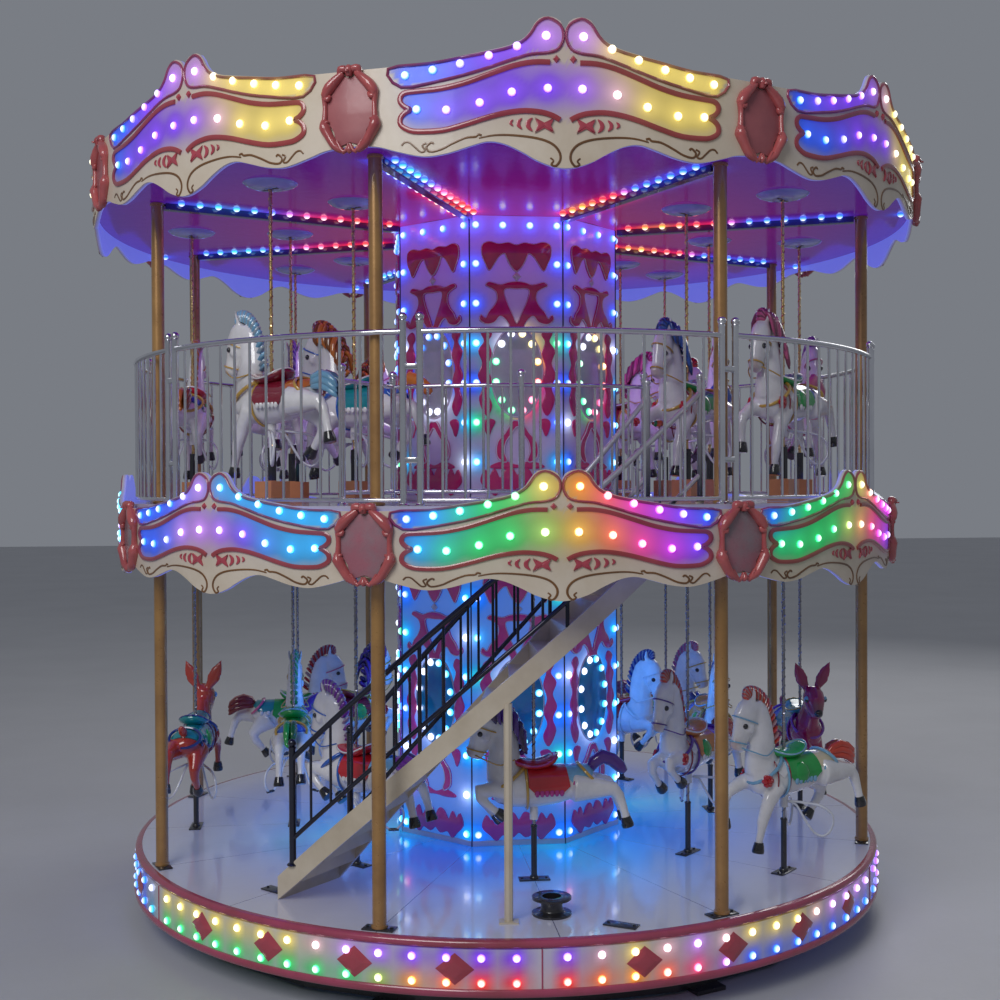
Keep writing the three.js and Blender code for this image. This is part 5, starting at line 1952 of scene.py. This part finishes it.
def make_ride(storey, ring, angle, number, coat):
    """Animal, tack and pole of one ride, all on its own body."""
    level, pole_top = POLE_TOPS[storey]
    height = SADDLE_HEIGHTS.get((ring, angle), USUAL_SADDLE) if storey == "lower" else USUAL_SADDLE
    place = place_at(angle, RINGS[ring], level + height) @ turn_by(TURNS.get((storey, ring, angle), 0))
    body = f"{storey}_{ring}_ride_{number}"
    kind, *names = coat.split()
    mane, seat, cloth, strap, hem = (PAINTS[colour] for colour in names)
    jumps = (storey, ring) == ("lower", "inner")
    tack = [("saddle", seat), ("edge", hem), ("cloth", seat), ("straps", strap), ("ruffles", hem),
            ("rear cloth", cloth), ("rear ruffles", hem), ("sleeve", SNOW)]
    if (storey, ring, angle) != ("lower", "inner", 0):
        tack.append(("loops", WIRE))
    if jumps and angle != 0:
        tack.append(("foot pads", HOOF))
    if kind == "deer":
        parts = [("deer", mane), ("hooves", HOOF), ("deer whites", PAINTS["sky"]), ("deer eyes", HOOF),
                 ("nose", HOOF), ("short tail", mane)]
    else:
        parts = [("jumper" if jumps else "horse", SNOW), ("jumper hooves" if jumps else "hooves", HOOF),
                 ("horse eyes", HOOF), (kind, mane), ("smooth tail" if kind == "locks" else "tail", mane)]
        tack.append(("bridle", strap))
    if angle == 45 or number % 3 == 0:
        tack += [("front cloth", SNOW), ("front hem", PAINTS["maroon"]), ("rose", PAINTS["red"]),
                 ("pads", PAINTS["green"])]
    finished(assembled(body, place, parts), body + "_animal", animal_gloss, body, 60,
             stands_for=(body,))
    finished(assembled(body, place, tack), body + "_tack", tack_gloss, body, 60)
    pole = spread(twisted_pole(level + POLE_BOTTOM, pole_top), ride_places([(ring, angle)], 0))
    finished(pole, body + "_pole", POLE_METAL[storey], body, 60)


for storey, rides, coats in (("lower", LOWER_RIDES, LOWER_COATS), ("upper", UPPER_RIDES, UPPER_COATS)):
    numbers = {"inner": 0, "outer": 0}
    for (ring, angle), coat in zip(rides, coats):
        numbers[ring] += 1
        make_ride(storey, ring, angle, numbers[ring], coat)
discard(*SEEDS.values())
print("rides done")

# %% [markdown]
# ## The studio
# A pale floor and two large soft lights show the carousel. The light is kept low, so that the carousel's
# own lamps and their colours still read.

# %% Floor, sky and lights
def studio_floor():
    bpy.ops.mesh.primitive_plane_add(size=120)
    floor = bpy.context.object
    floor.name = "studio_floor"
    paint = gloss("studio_floor", (0.50, 0.50, 0.52), (0.46, 0.46, 0.48), dullness=0.45, scale=0.5,
                  coat=0.0)
    floor.data.materials.append(paint)
    return floor


def soft_light(name, place, target, size, power):
    bpy.ops.object.light_add(type="AREA", location=place)
    light = bpy.context.object
    light.name = name
    light.data.size = size
    light.data.energy = power
    light.rotation_euler = (Vector(target) - Vector(place)).to_track_quat("-Z", "Y").to_euler()
    return light


nothing_selected()
key_light = soft_light("key_light", (-7, -12, 11), (0, 0, 2.5), size=7, power=950)
back_light = soft_light("back_light", (8, 10, 10), (0, 0, 3), size=7, power=500)
studio_floor()

# The column's lamps light the rides near it: blue below the second deck, violet above it.
for height, colour, power in ((FLOOR + 1.15, (0.03, 0.27, 1.0), 5), (DECK + 1.35, (0.55, 0.30, 1.0), 3)):
    for angle in BAY_ANGLES:
        lamp_light = soft_light(f"column_light_{height:.1f}_{angle:.0f}", around(angle, 0.95, height),
                                around(angle, 3.0, height - 0.9), size=0.6, power=power)
        lamp_light.data.color = colour
        lamp_light.visible_glossy = False
world = bpy.data.worlds.new("studio_sky")
world.use_nodes = True
world.node_tree.nodes["Background"].inputs["Color"].default_value = (0.60, 0.64, 0.72, 1)
world.node_tree.nodes["Background"].inputs["Strength"].default_value = 0.32
bpy.context.scene.world = world

# %% [markdown]
# ## The camera
# Its place comes from fitting a camera to the posts, the column's corners, the floor's edge and the
# railings. It stands 10.5 m from the middle, a little to the left, and 2.7 m above the carousel's floor.

# %% Camera
CAMERA_ANGLE = -6.422
CAMERA_REACH = 10.46
CAMERA_HEIGHT = FLOOR + 2.671
CAMERA_DIP = 0.737
CAMERA_ROLL = -0.257
bpy.ops.object.camera_add(location=around(CAMERA_ANGLE, CAMERA_REACH, CAMERA_HEIGHT))
camera = bpy.context.object
turn = (Matrix.Rotation(radians(CAMERA_ANGLE), 3, "Z") @ Matrix.Rotation(radians(90 - CAMERA_DIP), 3, "X")
        @ Matrix.Rotation(radians(CAMERA_ROLL), 3, "Z"))
camera.rotation_euler = turn.to_euler()
camera.data.lens = 47.13
camera.data.sensor_width = 36
camera.data.shift_x = -0.00464
camera.data.clip_end = 200
bpy.context.scene.camera = camera
bpy.context.scene.view_settings.view_transform = "Standard"

# %% Discard the lamp seed
discard(LAMP)
